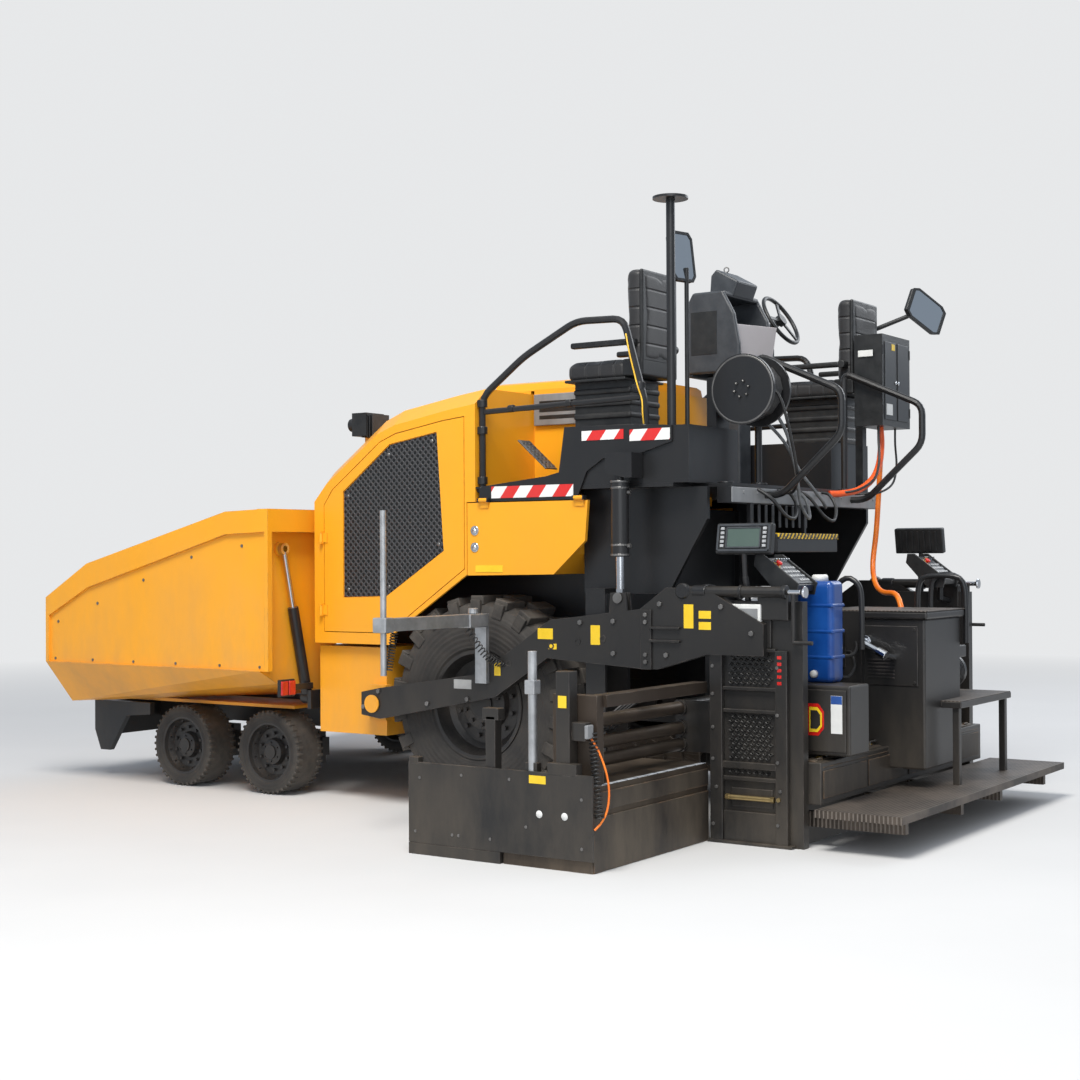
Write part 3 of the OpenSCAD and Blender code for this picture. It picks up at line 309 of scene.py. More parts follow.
sky_light = add_node(tree, "ShaderNodeBackground", {"Color": (0.80, 0.88, 1.0, 1), "Strength": 0.5})
backdrop = add_node(tree, "ShaderNodeBackground", {"Color": (0.80, 0.81, 0.82, 1), "Strength": 1.0})
mirrored_sky = add_node(tree, "ShaderNodeBackground", {"Color": (0.60, 0.68, 0.78, 1), "Strength": 0.75})
lit = add_node(tree, "ShaderNodeMixShader", {0: light_path.outputs["Is Glossy Ray"], 1: sky_light.outputs[0],
               2: mirrored_sky.outputs[0]})
mixed = add_node(tree, "ShaderNodeMixShader", {0: light_path.outputs["Is Camera Ray"], 1: lit.outputs[0],
                 2: backdrop.outputs[0]})
add_node(tree, "ShaderNodeOutputWorld", {"Surface": mixed.outputs[0]})

for name, place, aim, size, power, tint in (
    ("key_lamp", (7.5, 3.0, 12.0), (0, 0, 1.2), 5.0, 1900, (1.0, 0.97, 0.92)),
    ("fill_lamp", (11.0, 8.0, 5.0), (0, 0, 1.2), 8.0, 330, (0.92, 0.96, 1.0)),
    ("far_lamp", (-9.0, 4.0, 8.0), (0, 0, 1.5), 8.0, 520, (0.95, 0.97, 1.0)),
):
    lamp_data = bpy.data.lights.new(name, "AREA")
    lamp_data.size = size
    lamp_data.energy = power
    lamp_data.color = tint
    lamp = bpy.data.objects.new(name, lamp_data)
    lamp.location = place
    lamp.rotation_mode = "QUATERNION"
    lamp.rotation_quaternion = (Vector(aim) - Vector(place)).to_track_quat("-Z", "Y")
    bpy.context.scene.collection.objects.link(lamp)

bpy.context.scene.view_settings.view_transform = "Standard"


# Body panels: the hood, its lid and doors, and the hopper wings are folded sheet steel,
# welded, ground and painted yellow. Edges are rubbed, low parts are caked with dust.
def new_group(name, inputs, outputs):
    group = bpy.data.node_groups.new(name, "ShaderNodeTree")
    for label, kind, value in inputs:
        socket = group.interface.new_socket(name=label, in_out="INPUT", socket_type=kind)
        socket.default_value = value
    for label, kind in outputs:
        group.interface.new_socket(name=label, in_out="OUTPUT", socket_type=kind)
    return group, group.nodes.new("NodeGroupInput"), group.nodes.new("NodeGroupOutput")


rubbed_edges, given, result = new_group(
    "rubbed_edges",
    [("Width", "NodeSocketFloat", 0.006), ("Patchiness", "NodeSocketFloat", 6.0), ("Amount", "NodeSocketFloat", 0.6)],
    [("Mask", "NodeSocketFloat")])
round_normal = add_node(rubbed_edges, "ShaderNodeBevel", {"Radius": given.outputs["Width"]}, samples=4)
flat_normal = add_node(rubbed_edges, "ShaderNodeNewGeometry")
alike = add_node(rubbed_edges, "ShaderNodeVectorMath", {0: round_normal.outputs[0], 1: flat_normal.outputs["Normal"]},
                 operation="DOT_PRODUCT")
edge = add_node(rubbed_edges, "ShaderNodeMapRange", {"Value": alike.outputs["Value"], "From Min": 0.995,
                "From Max": 0.86, "To Min": 0.0, "To Max": 1.0})
place = add_node(rubbed_edges, "ShaderNodeTexCoord")
patches = add_node(rubbed_edges, "ShaderNodeTexNoise", {"Vector": place.outputs["Object"],
                   "Scale": given.outputs["Patchiness"], "Detail": 8.0, "Roughness": 0.65})
patch = add_node(rubbed_edges, "ShaderNodeMapRange", {"Value": patches.outputs["Fac"], "From Min": 0.46,
                 "From Max": 0.60})
both = maths(rubbed_edges, "MULTIPLY", edge.outputs[0], patch.outputs[0])
scaled = maths(rubbed_edges, "MULTIPLY", both.outputs[0], given.outputs["Amount"], use_clamp=True)
rubbed_edges.links.new(scaled.outputs[0], result.inputs["Mask"])

dry_dust, given, result = new_group(
    "dry_dust",
    [("Reach", "NodeSocketFloat", 1.2), ("Amount", "NodeSocketFloat", 0.5), ("Scale", "NodeSocketFloat", 2.5)],
    [("Mask", "NodeSocketFloat")])
place = add_node(dry_dust, "ShaderNodeTexCoord")
height = add_node(dry_dust, "ShaderNodeSeparateXYZ", {0: place.outputs["Object"]})
low_down = add_node(dry_dust, "ShaderNodeMapRange", {"Value": height.outputs["Z"], "From Min": given.outputs["Reach"],
                    "From Max": 0.0, "To Min": 0.12, "To Max": 1.0})
up = add_node(dry_dust, "ShaderNodeSeparateXYZ", {0: place.outputs["Normal"]})
lying = add_node(dry_dust, "ShaderNodeMapRange", {"Value": up.outputs["Z"], "From Min": 0.2, "From Max": 1.0,
                 "To Min": 0.0, "To Max": 0.55})
settled = maths(dry_dust, "ADD", low_down.outputs[0], lying.outputs[0])
streaks = add_node(dry_dust, "ShaderNodeMapping", {"Vector": place.outputs["Object"], "Scale": (1.0, 1.0, 0.35)})
clouds = add_node(dry_dust, "ShaderNodeTexNoise", {"Vector": streaks.outputs[0], "Scale": given.outputs["Scale"],
                  "Detail": 9.0, "Roughness": 0.68})
cloud = add_node(dry_dust, "ShaderNodeMapRange", {"Value": clouds.outputs["Fac"], "From Min": 0.36, "From Max": 0.66})
thick = maths(dry_dust, "MULTIPLY", settled.outputs[0], cloud.outputs[0])
scaled = maths(dry_dust, "MULTIPLY", thick.outputs[0], given.outputs["Amount"], use_clamp=True)
dry_dust.links.new(scaled.outputs[0], result.inputs["Mask"])

uneven_tone, given, result = new_group(
    "uneven_tone",
    [("Color", "NodeSocketColor", (0.5, 0.5, 0.5, 1)), ("Scale", "NodeSocketFloat", 4.0),
     ("Spread", "NodeSocketFloat", 0.15)],
    [("Color", "NodeSocketColor")])
place = add_node(uneven_tone, "ShaderNodeTexCoord")
soft = add_node(uneven_tone, "ShaderNodeTexNoise", {"Vector": place.outputs["Object"],
                "Scale": given.outputs["Scale"], "Detail": 7.0, "Roughness": 0.6})
swing = maths(uneven_tone, "SUBTRACT", soft.outputs["Fac"], 0.5)
amount = maths(uneven_tone, "MULTIPLY", swing.outputs[0], given.outputs["Spread"])
gain = maths(uneven_tone, "ADD", amount.outputs[0], 1.0)
toned = add_node(uneven_tone, "ShaderNodeVectorMath", {0: given.outputs["Color"], "Scale": gain.outputs[0]},
                 operation="SCALE")
uneven_tone.links.new(toned.outputs[0], result.inputs["Color"])


def use_group(tree, group, **inputs):
    made = tree.nodes.new("ShaderNodeGroup")
    made.node_tree = group
    for key, value in inputs.items():
        if isinstance(value, bpy.types.NodeSocket):
            tree.links.new(value, made.inputs[key])
        else:
            made.inputs[key].default_value = value
    return made


def mix_colours(tree, mask, low, high):
    made = add_node(tree, "ShaderNodeMix", data_type="RGBA")
    for place, value in ((0, mask), (6, low), (7, high)):
        if isinstance(value, bpy.types.NodeSocket):
            tree.links.new(value, made.inputs[place])
        else:
            made.inputs[place].default_value = value
    return made.outputs[2]


def mix_values(tree, mask, low, high):
    made = add_node(tree, "ShaderNodeMapRange", {"Value": mask, "To Min": low, "To Max": high})
    return made.outputs[0]


dust_colour = (0.30, 0.24, 0.17, 1)


def painted_steel(name, paint, under, gloss, rub=0.6, dust=0.4, reach=1.2, spread=0.12, ripple=0.12, metal=0.0,
                  rub_width=0.006):
    """Sprayed paint on steel: cloudy tone, rubbed edges that show what lies under, dust that thickens downwards."""
    material, tree = new_material(name)
    toned = use_group(tree, uneven_tone, Color=(*paint, 1), Scale=2.2, Spread=spread)
    rubbed = use_group(tree, rubbed_edges, Width=rub_width, Patchiness=9.0, Amount=rub)
    dusty = use_group(tree, dry_dust, Reach=reach, Amount=dust, Scale=2.6)
    colour = mix_colours(tree, rubbed.outputs["Mask"], toned.outputs["Color"], (*under, 1))
    colour = mix_colours(tree, dusty.outputs["Mask"], colour, dust_colour)
    rough = mix_values(tree, dusty.outputs["Mask"], gloss, 0.9)
    place = add_node(tree, "ShaderNodeTexCoord")
    orange_peel = add_node(tree, "ShaderNodeTexNoise", {"Vector": place.outputs["Object"], "Scale": 260.0,
                           "Detail": 2.0})
    wave = add_node(tree, "ShaderNodeTexNoise", {"Vector": place.outputs["Object"], "Scale": 7.0, "Detail": 1.0})
    fine = add_node(tree, "ShaderNodeBump", {"Height": orange_peel.outputs["Fac"], "Strength": ripple,
                    "Distance": 0.0006})
    bumped = add_node(tree, "ShaderNodeBump", {"Height": wave.outputs["Fac"], "Strength": ripple,
                      "Distance": 0.006, "Normal": fine.outputs[0]})
    add_surface(tree, {"Base Color": colour, "Roughness": rough, "Metallic": metal, "Normal": bumped.outputs[0]})
    return material


def dress(name, material):
    mesh = nodes[name].data
    mesh.materials.clear()
    mesh.materials.append(material)


yellow_paint = painted_steel("yellow_paint", (0.905, 0.385, 0.014), (0.20, 0.12, 0.06), 0.30, dust=0.34, reach=1.4,
                             rub=0.35)
wing_paint = painted_steel("wing_paint", (0.905, 0.385, 0.014), (0.16, 0.10, 0.06), 0.34, rub=0.7, dust=0.5,
                           reach=1.7)
black_paint = painted_steel("black_paint", (0.012, 0.0125, 0.014), (0.09, 0.08, 0.075), 0.32, rub=0.4, dust=0.12,
                            reach=1.2)
screed_paint = painted_steel("screed_paint", (0.014, 0.0135, 0.0135), (0.13, 0.11, 0.10), 0.36, rub=0.7, dust=0.20,
                             reach=0.9)
worn_plate = painted_steel("worn_plate", (0.06, 0.045, 0.035), (0.26, 0.22, 0.19), 0.42, rub=1.0, dust=0.4, reach=0.7,
                           spread=1.2, metal=0.55)
chrome = moulded("chrome_rod", (0.55, 0.56, 0.58), (0.66, 0.67, 0.69), 0.14, scale=20, bump=0.05, metal=1.0)
galvanised = moulded("galvanised", (0.36, 0.37, 0.38), (0.52, 0.53, 0.54), 0.42, scale=90, bump=0.2, metal=0.75)
black_plastic = moulded("black_plastic", (0.010, 0.0105, 0.011), (0.02, 0.0205, 0.021), 0.4, scale=110, bump=0.35)
cast_steel = moulded("engine_castings", (0.10, 0.10, 0.105), (0.20, 0.20, 0.20), 0.5, scale=60, bump=0.5, metal=0.4)
for name in nodes:
    if name.startswith(("hood_", "grille_door", "service_door", "side_panels")):
        dress(name, yellow_paint)
    elif name.startswith("hopper_wing"):
        dress(name, wing_paint)
    elif name.startswith(("tow_arms", "screed")):
        dress(name, screed_paint)
    elif name.startswith(("extension", "push_roller", "conveyor")):
        dress(name, worn_plate)
    elif name.startswith(("lift_rod", "wing_rod")):
        dress(name, chrome)
    elif name.startswith("grade_sensor"):
        dress(name, galvanised)
    elif name in ("steering_wheel", "work_lights", "seat_bases", "electrical_box"):
        dress(name, black_plastic)
    elif name == "engine_block":
        dress(name, cast_steel)
    else:
        dress(name, black_paint)


# Hopper wings' furniture: hexagon bolts along the rim and the foot of each wing, and behind it a
# tail lamp on a steel arm, two red moulded lenses in a black housing.
def finish_piece(shape, name, body, material, smooth=False):
    """Turns a bmesh into a piece that rides on a body."""
    bmesh.ops.recalc_face_normals(shape, faces=shape.faces)
    mesh = bpy.data.meshes.new(name)
    shape.to_mesh(mesh)
    shape.free()
    if smooth:
        mesh.shade_smooth()
    piece = bpy.data.objects.new(name, mesh)
    bpy.context.scene.collection.objects.link(piece)
    mesh.materials.append(material)
    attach(piece, body)
    return piece


def add_block(shape, low, high, radius=0.003, segments=2, turn=None):
    """A block with rounded edges between two corners, turned by a matrix where one is given."""
    low, high = Vector(low), Vector(high)
    made = bmesh.ops.create_cube(shape, size=1.0)["verts"]
    bmesh.ops.scale(shape, vec=high - low, verts=made)
    bmesh.ops.translate(shape, vec=(low + high) / 2, verts=made)
    if turn is not None:
        bmesh.ops.transform(shape, matrix=turn, verts=made)
    if radius:
        edges = list({edge for vert in made for edge in vert.link_edges})
        bmesh.ops.bevel(shape, geom=edges, offset=radius, segments=segments, profile=0.5, affect="EDGES", material=-1)


def add_side_block(shape, sx, low, high, radius=0.003, segments=2, turn=None):
    """A block given by its corners on the left, mirrored to the right where sx is -1."""
    xs = sorted((sx * low[0], sx * high[0]))
    add_block(shape, (xs[0], *low[1:]), (xs[1], *high[1:]), radius, segments, turn)


def add_rod(shape, start, end, radius, far_radius=None, segments=20, edge=0.0):
    """A round rod or cone between two points, its rims bevelled where an edge is given."""
    start, end = Vector(start), Vector(end)
    run = end - start
    place = Matrix.Translation((start + end) / 2) @ run.to_track_quat("Z", "Y").to_matrix().to_4x4()
    made = bmesh.ops.create_cone(shape, cap_ends=True, segments=segments, radius1=radius,
                                 radius2=radius if far_radius is None else far_radius, depth=run.length, matrix=place)
    if edge:
        rims = {e for vert in made["verts"] for e in vert.link_edges
                if any(len(face.verts) > 4 for face in e.link_faces)}
        bmesh.ops.bevel(shape, geom=list(rims), offset=edge, segments=2, profile=0.5, affect="EDGES", material=-1)


lamp_glass = moulded("red_lamp_glass", (0.50, 0.012, 0.01), (0.62, 0.02, 0.015), 0.12, scale=200, bump=0.5, coat=0.6)
bolt_steel = moulded("bolt_steel", (0.16, 0.155, 0.15), (0.26, 0.25, 0.24), 0.38, scale=60, metal=0.85)
for side, sx in SIDES:
    body = "hopper_wing_" + side
    shape = bmesh.new()
    for y, z in ((-2.95, 1.11), (-2.55, 1.24), (-2.1, 1.40), (-1.65, 1.55), (-1.2, 1.62)):
        add_rod(shape, (sx * 1.566, y, z), (sx * 1.572, y, z), 0.011, segments=6, edge=0.001)
    for y in (-2.98, -2.6, -2.2, -1.8, -1.4, -1.05):
        add_rod(shape, (sx * 1.566, y, 0.855), (sx * 1.572, y, 0.855), 0.010, segments=6, edge=0.001)
    finish_piece(shape, "wing_bolts_" + side, body, bolt_steel)
    shape = bmesh.new()
    add_side_block(shape, sx, (1.37, -0.958, 0.665), (1.51, -0.93, 0.775), 0.008, 3)
    finish_piece(shape, "tail_lamp_housing_" + side, "machine", black_plastic)
    shape = bmesh.new()
    for x0, x1 in ((1.376, 1.435), (1.445, 1.504)):
        add_side_block(shape, sx, (x0, -0.935, 0.675), (x1, -0.920, 0.765), 0.006, 3)
    finish_piece(shape, "tail_lamp_glass_" + side, "machine", lamp_glass)
    shape = bmesh.new()
    add_side_block(shape, sx, (1.19, -0.955, 0.70), (1.38, -0.940, 0.74), 0.003)
    finish_piece(shape, "tail_lamp_arm_" + side, "machine", black_paint)


# Tyres and wheels: air-filled rear tyres with two staggered rows of chunky lugs, solid front
# tyres with small blocks, all on dished steel rims with a hub and rings of nuts. Dust lies on
# the rubber, the steel is black.
def add_turned(shape, profile, centre, axis, steps=40):
    """A profile of (distance along the axis, radius) spun full round the axis."""
    centre, axis = Vector(centre), Vector(axis).normalized()
    out = axis.orthogonal().normalized()
    made = [shape.verts.new(centre + axis * along + out * radius) for along, radius in profile]
    edges = [shape.edges.new(pair) for pair in zip(made, made[1:])]
    bmesh.ops.spin(shape, geom=made + edges, cent=centre, axis=axis, angle=2 * math.pi, steps=steps, use_merge=True)
    bmesh.ops.remove_doubles(shape, verts=shape.verts, dist=0.00002)


def wheel_finish(name, centre_y, centre_z, rim_radius, tread_radius):
    material, tree = new_material(name)
    place = add_node(tree, "ShaderNodeTexCoord")
    centred = add_node(tree, "ShaderNodeMapping", {"Vector": place.outputs["Object"],
                       "Location": (0, -centre_y, -centre_z)})
    flat = add_node(tree, "ShaderNodeVectorMath", {0: centred.outputs[0], 1: (0.0, 1.0, 1.0)}, operation="MULTIPLY")
    radius = add_node(tree, "ShaderNodeVectorMath", {0: flat.outputs[0]}, operation="LENGTH")
    on_rubber = add_node(tree, "ShaderNodeMapRange", {"Value": radius.outputs["Value"],
                         "From Min": rim_radius - 0.001, "From Max": rim_radius + 0.001})
    near_tread = add_node(tree, "ShaderNodeMapRange", {"Value": radius.outputs["Value"],
                          "From Min": tread_radius * 0.80, "From Max": tread_radius})
    clouds = add_node(tree, "ShaderNodeTexNoise", {"Vector": centred.outputs[0], "Scale": 5.0, "Detail": 9.0,
                      "Roughness": 0.7})
    cloud = add_node(tree, "ShaderNodeMapRange", {"Value": clouds.outputs["Fac"], "From Min": 0.35, "From Max": 0.62,
                     "To Min": 0.25, "To Max": 1.0})
    tread_dust = maths(tree, "MULTIPLY_ADD", near_tread.outputs[0], 0.45)
    tread_dust.inputs[2].default_value = 0.22
    dust = maths(tree, "MULTIPLY", tread_dust.outputs[0], cloud.outputs[0], use_clamp=True)
    rubber = mix_colours(tree, dust.outputs[0], (0.018, 0.017, 0.017, 1), (0.13, 0.112, 0.092, 1))
    steel = mix_colours(tree, cloud.outputs[0], (0.010, 0.010, 0.011, 1), (0.035, 0.031, 0.028, 1))
    colour = mix_colours(tree, on_rubber.outputs[0], steel, rubber)
    rough = mix_values(tree, on_rubber.outputs[0], 0.36, 0.78)
    rings = maths(tree, "MULTIPLY", radius.outputs["Value"], 210.0)
    ridge = maths(tree, "SINE", rings.outputs[0])
    side_only = add_node(tree, "ShaderNodeMapRange", {"Value": radius.outputs["Value"],
                         "From Min": tread_radius * 0.86, "From Max": tread_radius * 0.84})
    moulded_ring = maths(tree, "MULTIPLY", ridge.outputs[0], side_only.outputs[0])
    ring_rubber = maths(tree, "MULTIPLY", moulded_ring.outputs[0], on_rubber.outputs[0])
    pits = add_node(tree, "ShaderNodeTexNoise", {"Vector": centred.outputs[0], "Scale": 160.0, "Detail": 5.0})
    height = maths(tree, "MULTIPLY_ADD", ring_rubber.outputs[0], 0.5)
    tree.links.new(pits.outputs["Fac"], height.inputs[2])
    bumped = add_node(tree, "ShaderNodeBump", {"Height": height.outputs[0], "Strength": 0.5, "Distance": 0.003})
    add_surface(tree, {"Base Color": colour, "Roughness": rough, "Normal": bumped.outputs[0]})
    return material


def wheel(name, place, sx, tyre, lugs, steel, nuts, finish):
    """Tyre and rim turned round the axle, with rings of lugs and of nuts.

    A row of lugs: bevel, inner and outer x, low and high radius, width, count, part of a step turned.
    A row of nuts: radius of the ring, count, inner and outer x, radius of a nut.
    """
    shape = bmesh.new()
    axis = (sx, 0, 0)
    add_turned(shape, tyre, place, axis, 72)
    for bevel, inner, outer, low, high, wide, count, shift in lugs:
        for k in range(count):
            turn = Matrix.Translation(place) @ Matrix.Rotation(2 * math.pi * (k + shift) / count, 4, "X")
            add_side_block(shape, sx, (inner, -wide / 2, low), (outer, wide / 2, high), bevel, 1, turn=turn)
    add_turned(shape, steel, place, axis, 64)
    for radius, count, low, high, size in nuts:
        for k in range(count):
            a = 2 * math.pi * (k + 0.5) / count
            y, z = place[1] + radius * math.cos(a), place[2] + radius * math.sin(a)
            add_rod(shape, (place[0] + sx * low, y, z), (place[0] + sx * high, y, z), size, segments=6)
    piece = finish_piece(shape, name + "_lugged", name, finish)
    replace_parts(piece, name)


rear_track, rear_axle_y, rear_radius, rear_rim = 1.006, 0.38, 0.657, 0.321
front_track, front_radius, front_rim = 1.138, 0.274, 0.1915
front_axle_y = {n: -1.673 + (n - 1.5) * 0.788 for n in (1, 2)}
rear_finish = wheel_finish("rear_wheel_rubber", rear_axle_y, rear_radius, rear_rim, rear_radius)
front_finish = {n: wheel_finish("front_wheel_rubber_%d" % n, front_axle_y[n], front_radius, front_rim, front_radius)
                for n in (1, 2)}
for side, sx in SIDES:
    wheel("rear_wheel_" + side, (sx * rear_track, rear_axle_y, rear_radius), sx,
          [(-0.190, 0.322), (-0.206, 0.345), (-0.217, 0.43), (-0.214, 0.53), (-0.190, 0.598), (-0.12, 0.618),
           (0, 0.624), (0.12, 0.618), (0.190, 0.598), (0.214, 0.53), (0.217, 0.43), (0.206, 0.345), (0.190, 0.322),
           (-0.190, 0.322)],
          ((0.004, 0.006, 0.196, 0.600, 0.6535, 0.092, 22, 0.0),
           (0.004, -0.196, -0.006, 0.600, 0.6535, 0.092, 22, 0.5),
           (0.003, 0.180, 0.2165, 0.535, 0.630, 0.070, 22, 0.0),
           (0.003, -0.2165, -0.180, 0.535, 0.630, 0.070, 22, 0.5)),
          [(-0.10, 0.0), (-0.10, 0.27), (-0.200, 0.305), (-0.206, 0.330), (0.206, 0.330), (0.200, 0.305),
           (0.180, 0.296), (0.120, 0.272), (0.098, 0.240), (0.098, 0.165), (0.135, 0.155), (0.150, 0.092),
           (0.150, 0.0)],
          ((0.200, 12, 0.097, 0.122, 0.014), (0.125, 10, 0.138, 0.160, 0.012)), rear_finish)
    for n in (1, 2):
        wheel("front_wheel_%d_%s" % (n, side), (sx * front_track, front_axle_y[n], front_radius), sx,
              [(-0.110, 0.190), (-0.120, 0.203), (-0.1235, 0.235), (-0.116, 0.258), (-0.100, 0.266), (0.100, 0.266),
               (0.116, 0.258), (0.1235, 0.235), (0.120, 0.203), (0.110, 0.190), (-0.110, 0.190)],
              ((0.004, 0.070, 0.120, 0.250, 0.2725, 0.018, 40, 0.0),
               (0.004, -0.120, -0.070, 0.250, 0.2725, 0.018, 40, 0.5)),
              [(-0.06, 0.0), (-0.06, 0.15), (-0.110, 0.178), (-0.112, 0.193), (0.112, 0.193), (0.110, 0.180),
               (0.085, 0.172), (0.048, 0.152), (0.044, 0.090), (0.080, 0.080), (0.090, 0.052), (0.090, 0.0)],
              ((0.120, 10, 0.045, 0.066, 0.011), (0.163, 12, 0.060, 0.078, 0.006), (0.062, 6, 0.080, 0.094, 0.006)),
              front_finish[n])


# Chevron strips: reflecting foil in slanted red and white bars, glued on the side plates of the
# deck. The plates are in the part, the bars in the foil's material.
def chevron_foil():
    material, tree = new_material("chevron_foil")
    place = add_node(tree, "ShaderNodeTexCoord")
    parts = add_node(tree, "ShaderNodeSeparateXYZ", {0: place.outputs["Object"]})
    slant = maths(tree, "MULTIPLY", parts.outputs["Z"], 0.75)
    along = maths(tree, "SUBTRACT", parts.outputs["Y"], slant.outputs[0])
    count = maths(tree, "MULTIPLY", along.outputs[0], 5.4)
    within = maths(tree, "FRACT", count.outputs[0])
    red = maths(tree, "GREATER_THAN", within.outputs[0], 0.5)
    cells = add_node(tree, "ShaderNodeTexVoronoi", {"Vector": place.outputs["Object"], "Scale": 260.0})
    dirty = use_group(tree, dry_dust, Reach=2.6, Amount=0.25, Scale=9.0)
    colour = mix_colours(tree, red.outputs[0], (0.82, 0.82, 0.80, 1), (0.66, 0.02, 0.018, 1))
    colour = mix_colours(tree, dirty.outputs["Mask"], colour, (0.25, 0.22, 0.19, 1))
    bumped = add_node(tree, "ShaderNodeBump", {"Height": cells.outputs["Distance"], "Strength": 0.15,
                      "Distance": 0.0006})
    add_surface(tree, {"Base Color": colour, "Roughness": 0.28, "Coat Weight": 0.4, "Normal": bumped.outputs[0]})
    return material


dress("chevron_plates", chevron_foil())


# Grille sheets: finely perforated black sheet over the radiator, one flat plate in each door,
# held by round-headed screws. The holes are in the material, painted near-black as the shade
# behind the sheet; the sheet's own black is raised a little as a painted sheen.
def add_plate(shape, outline, run, radius=0.0):
    """A flat outline of points pushed along a vector."""
    corners = [shape.verts.new(p) for p in outline]
    face = shape.faces.new(corners)
    grown = bmesh.ops.extrude_face_region(shape, geom=[face])["geom"]
    tops = [item for item in grown if isinstance(item, bmesh.types.BMVert)]
    bmesh.ops.translate(shape, vec=run, verts=tops)
    if radius:
        edges = list({edge for vert in corners + tops for edge in vert.link_edges})
        bmesh.ops.bevel(shape, geom=edges, offset=radius, segments=2, profile=0.5, affect="EDGES", material=-1)


def grille_sheet():
    material, tree = new_material("perforated_black")
    place = add_node(tree, "ShaderNodeTexCoord")
    parts = add_node(tree, "ShaderNodeSeparateXYZ", {0: place.outputs["Object"]})
    facing = add_node(tree, "ShaderNodeCombineXYZ", {0: parts.outputs["Y"], 1: parts.outputs["Z"]})
    turned_place = add_node(tree, "ShaderNodeMapping", {"Vector": facing.outputs[0],
                            "Rotation": (0, 0, math.radians(45))})
    fine = add_node(tree, "ShaderNodeTexVoronoi", {"Vector": turned_place.outputs[0], "Scale": 34.0,
                    "Randomness": 0.0}, voronoi_dimensions="2D")
    sheen_and_hole_shade = add_node(tree, "ShaderNodeMapRange", {"Value": fine.outputs["Distance"], "From Min": 0.34,
                    "From Max": 0.42})
    # Painted shade in the holes (near-black) and a painted sheen on the sheet between them.
    colour = mix_colours(tree, sheen_and_hole_shade.outputs[0], (0.002, 0.002, 0.002, 1), (0.050, 0.050, 0.052, 1))
    bumped = add_node(tree, "ShaderNodeBump", {"Height": sheen_and_hole_shade.outputs[0], "Strength": 0.8, "Distance": 0.003})
    add_surface(tree, {"Base Color": colour, "Roughness": 0.4, "Normal": bumped.outputs[0]})
    return material


perforated = grille_sheet()
for side, sx in SIDES:
    shape = bmesh.new()
    outline = [(-0.636, 1.957), (-0.259, 2.240), (0.106, 2.300), (0.155, 1.582), (-0.291, 1.304), (-0.636, 1.294)]
    add_plate(shape, [(sx * 1.2303, y, z) for y, z in outline], Vector((sx * 0.0040, 0, 0)), 0.001)
    finish_piece(shape, "fine_mesh_" + side, "grille_door_" + side, perforated)
    shape = bmesh.new()
    for y, z in ((-0.60, 1.93), (-0.27, 2.18), (0.07, 2.25), (0.12, 1.62), (-0.27, 1.36), (-0.60, 1.34)):
        add_turned(shape, [(0, 0.0), (0, 0.013), (0.004, 0.012), (0.007, 0.007), (0.008, 0.0)],
                   (sx * 1.2343, y, z), (sx, 0, 0), 16)
    finish_piece(shape, "grille_screws_" + side, "grille_door_" + side, bolt_steel, smooth=True)


# Service door furniture: two round turn latches, turned from steel and chromed, and a small
# blank yellow plate below them on each side.
blank_yellow = moulded("blank_yellow_foil", (0.80, 0.52, 0.015), (0.88, 0.60, 0.03), 0.3, scale=50, bump=0.1)
for side, sx in SIDES:
    shape = bmesh.new()
    for y, z in ((0.395, 1.60), (0.395, 1.70)):
        add_turned(shape, [(0, 0.0), (0, 0.030), (0.004, 0.029), (0.006, 0.024), (0.004, 0.020), (0.004, 0.012),
                           (0.012, 0.010), (0.012, 0.0)], (sx * 1.2402, y, z), (sx, 0, 0), 28)
    finish_piece(shape, "door_latches_" + side, "service_door_" + side, chrome, smooth=True)
    shape = bmesh.new()
    add_side_block(shape, sx, (1.2402, 0.40, 1.452), (1.2425, 0.60, 1.492), 0.001)
    finish_piece(shape, "door_plate_" + side, "service_door_" + side, blank_yellow)


# Louvred sheets beside the neck of the hood: weathered sheet with three black strips painted on as
# the shade in its slots. The foot pedals ahead of the seats are tilted steel plates with rows of raised rings.
grey_sheet = moulded("weathered_sheet", (0.20, 0.205, 0.21), (0.34, 0.345, 0.35), 0.45, scale=30, bump=0.3, metal=0.3,
                     stretch=(1, 1, 0.3))
for side, sx in SIDES:
    shape = bmesh.new()
    add_side_block(shape, sx, (0.6105, 0.412, 2.362), (0.6345, 0.835, 2.558), 0.004)
    finish_piece(shape, "neck_sheet_" + side, "machine", grey_sheet)
    # Three black strips on the sheet: painted shade where the louvre slots are.
    shape = bmesh.new()
    for k in range(3):
        add_side_block(shape, sx, (0.634, 0.455, 2.400 + 0.045 * k), (0.6365, 0.79, 2.424 + 0.045 * k), 0.001)
    finish_piece(shape, "neck_slot_shade_" + side, "machine", black_plastic)
    shape = bmesh.new()
    tilt = Matrix.Translation((sx * 0.94, 0.642, 2.153)) @ Matrix.Rotation(math.radians(-41), 4, "X")
    add_block(shape, (-0.062, -0.135, 0.002), (0.062, 0.135, 0.012), 0.003, turn=tilt)
    for row in range(7):
        for column in (-0.04, 0.0, 0.04):
            add_turned(shape, [(0.012, 0.0135), (0.016, 0.0125), (0.016, 0.007), (0.0125, 0.0065)],
                       tilt @ Vector((column, -0.108 + 0.036 * row, 0)), tilt.to_3x3() @ Vector((0, 0, 1)), 12)
    finish_piece(shape, "foot_pedal_" + side, "machine", bolt_steel)


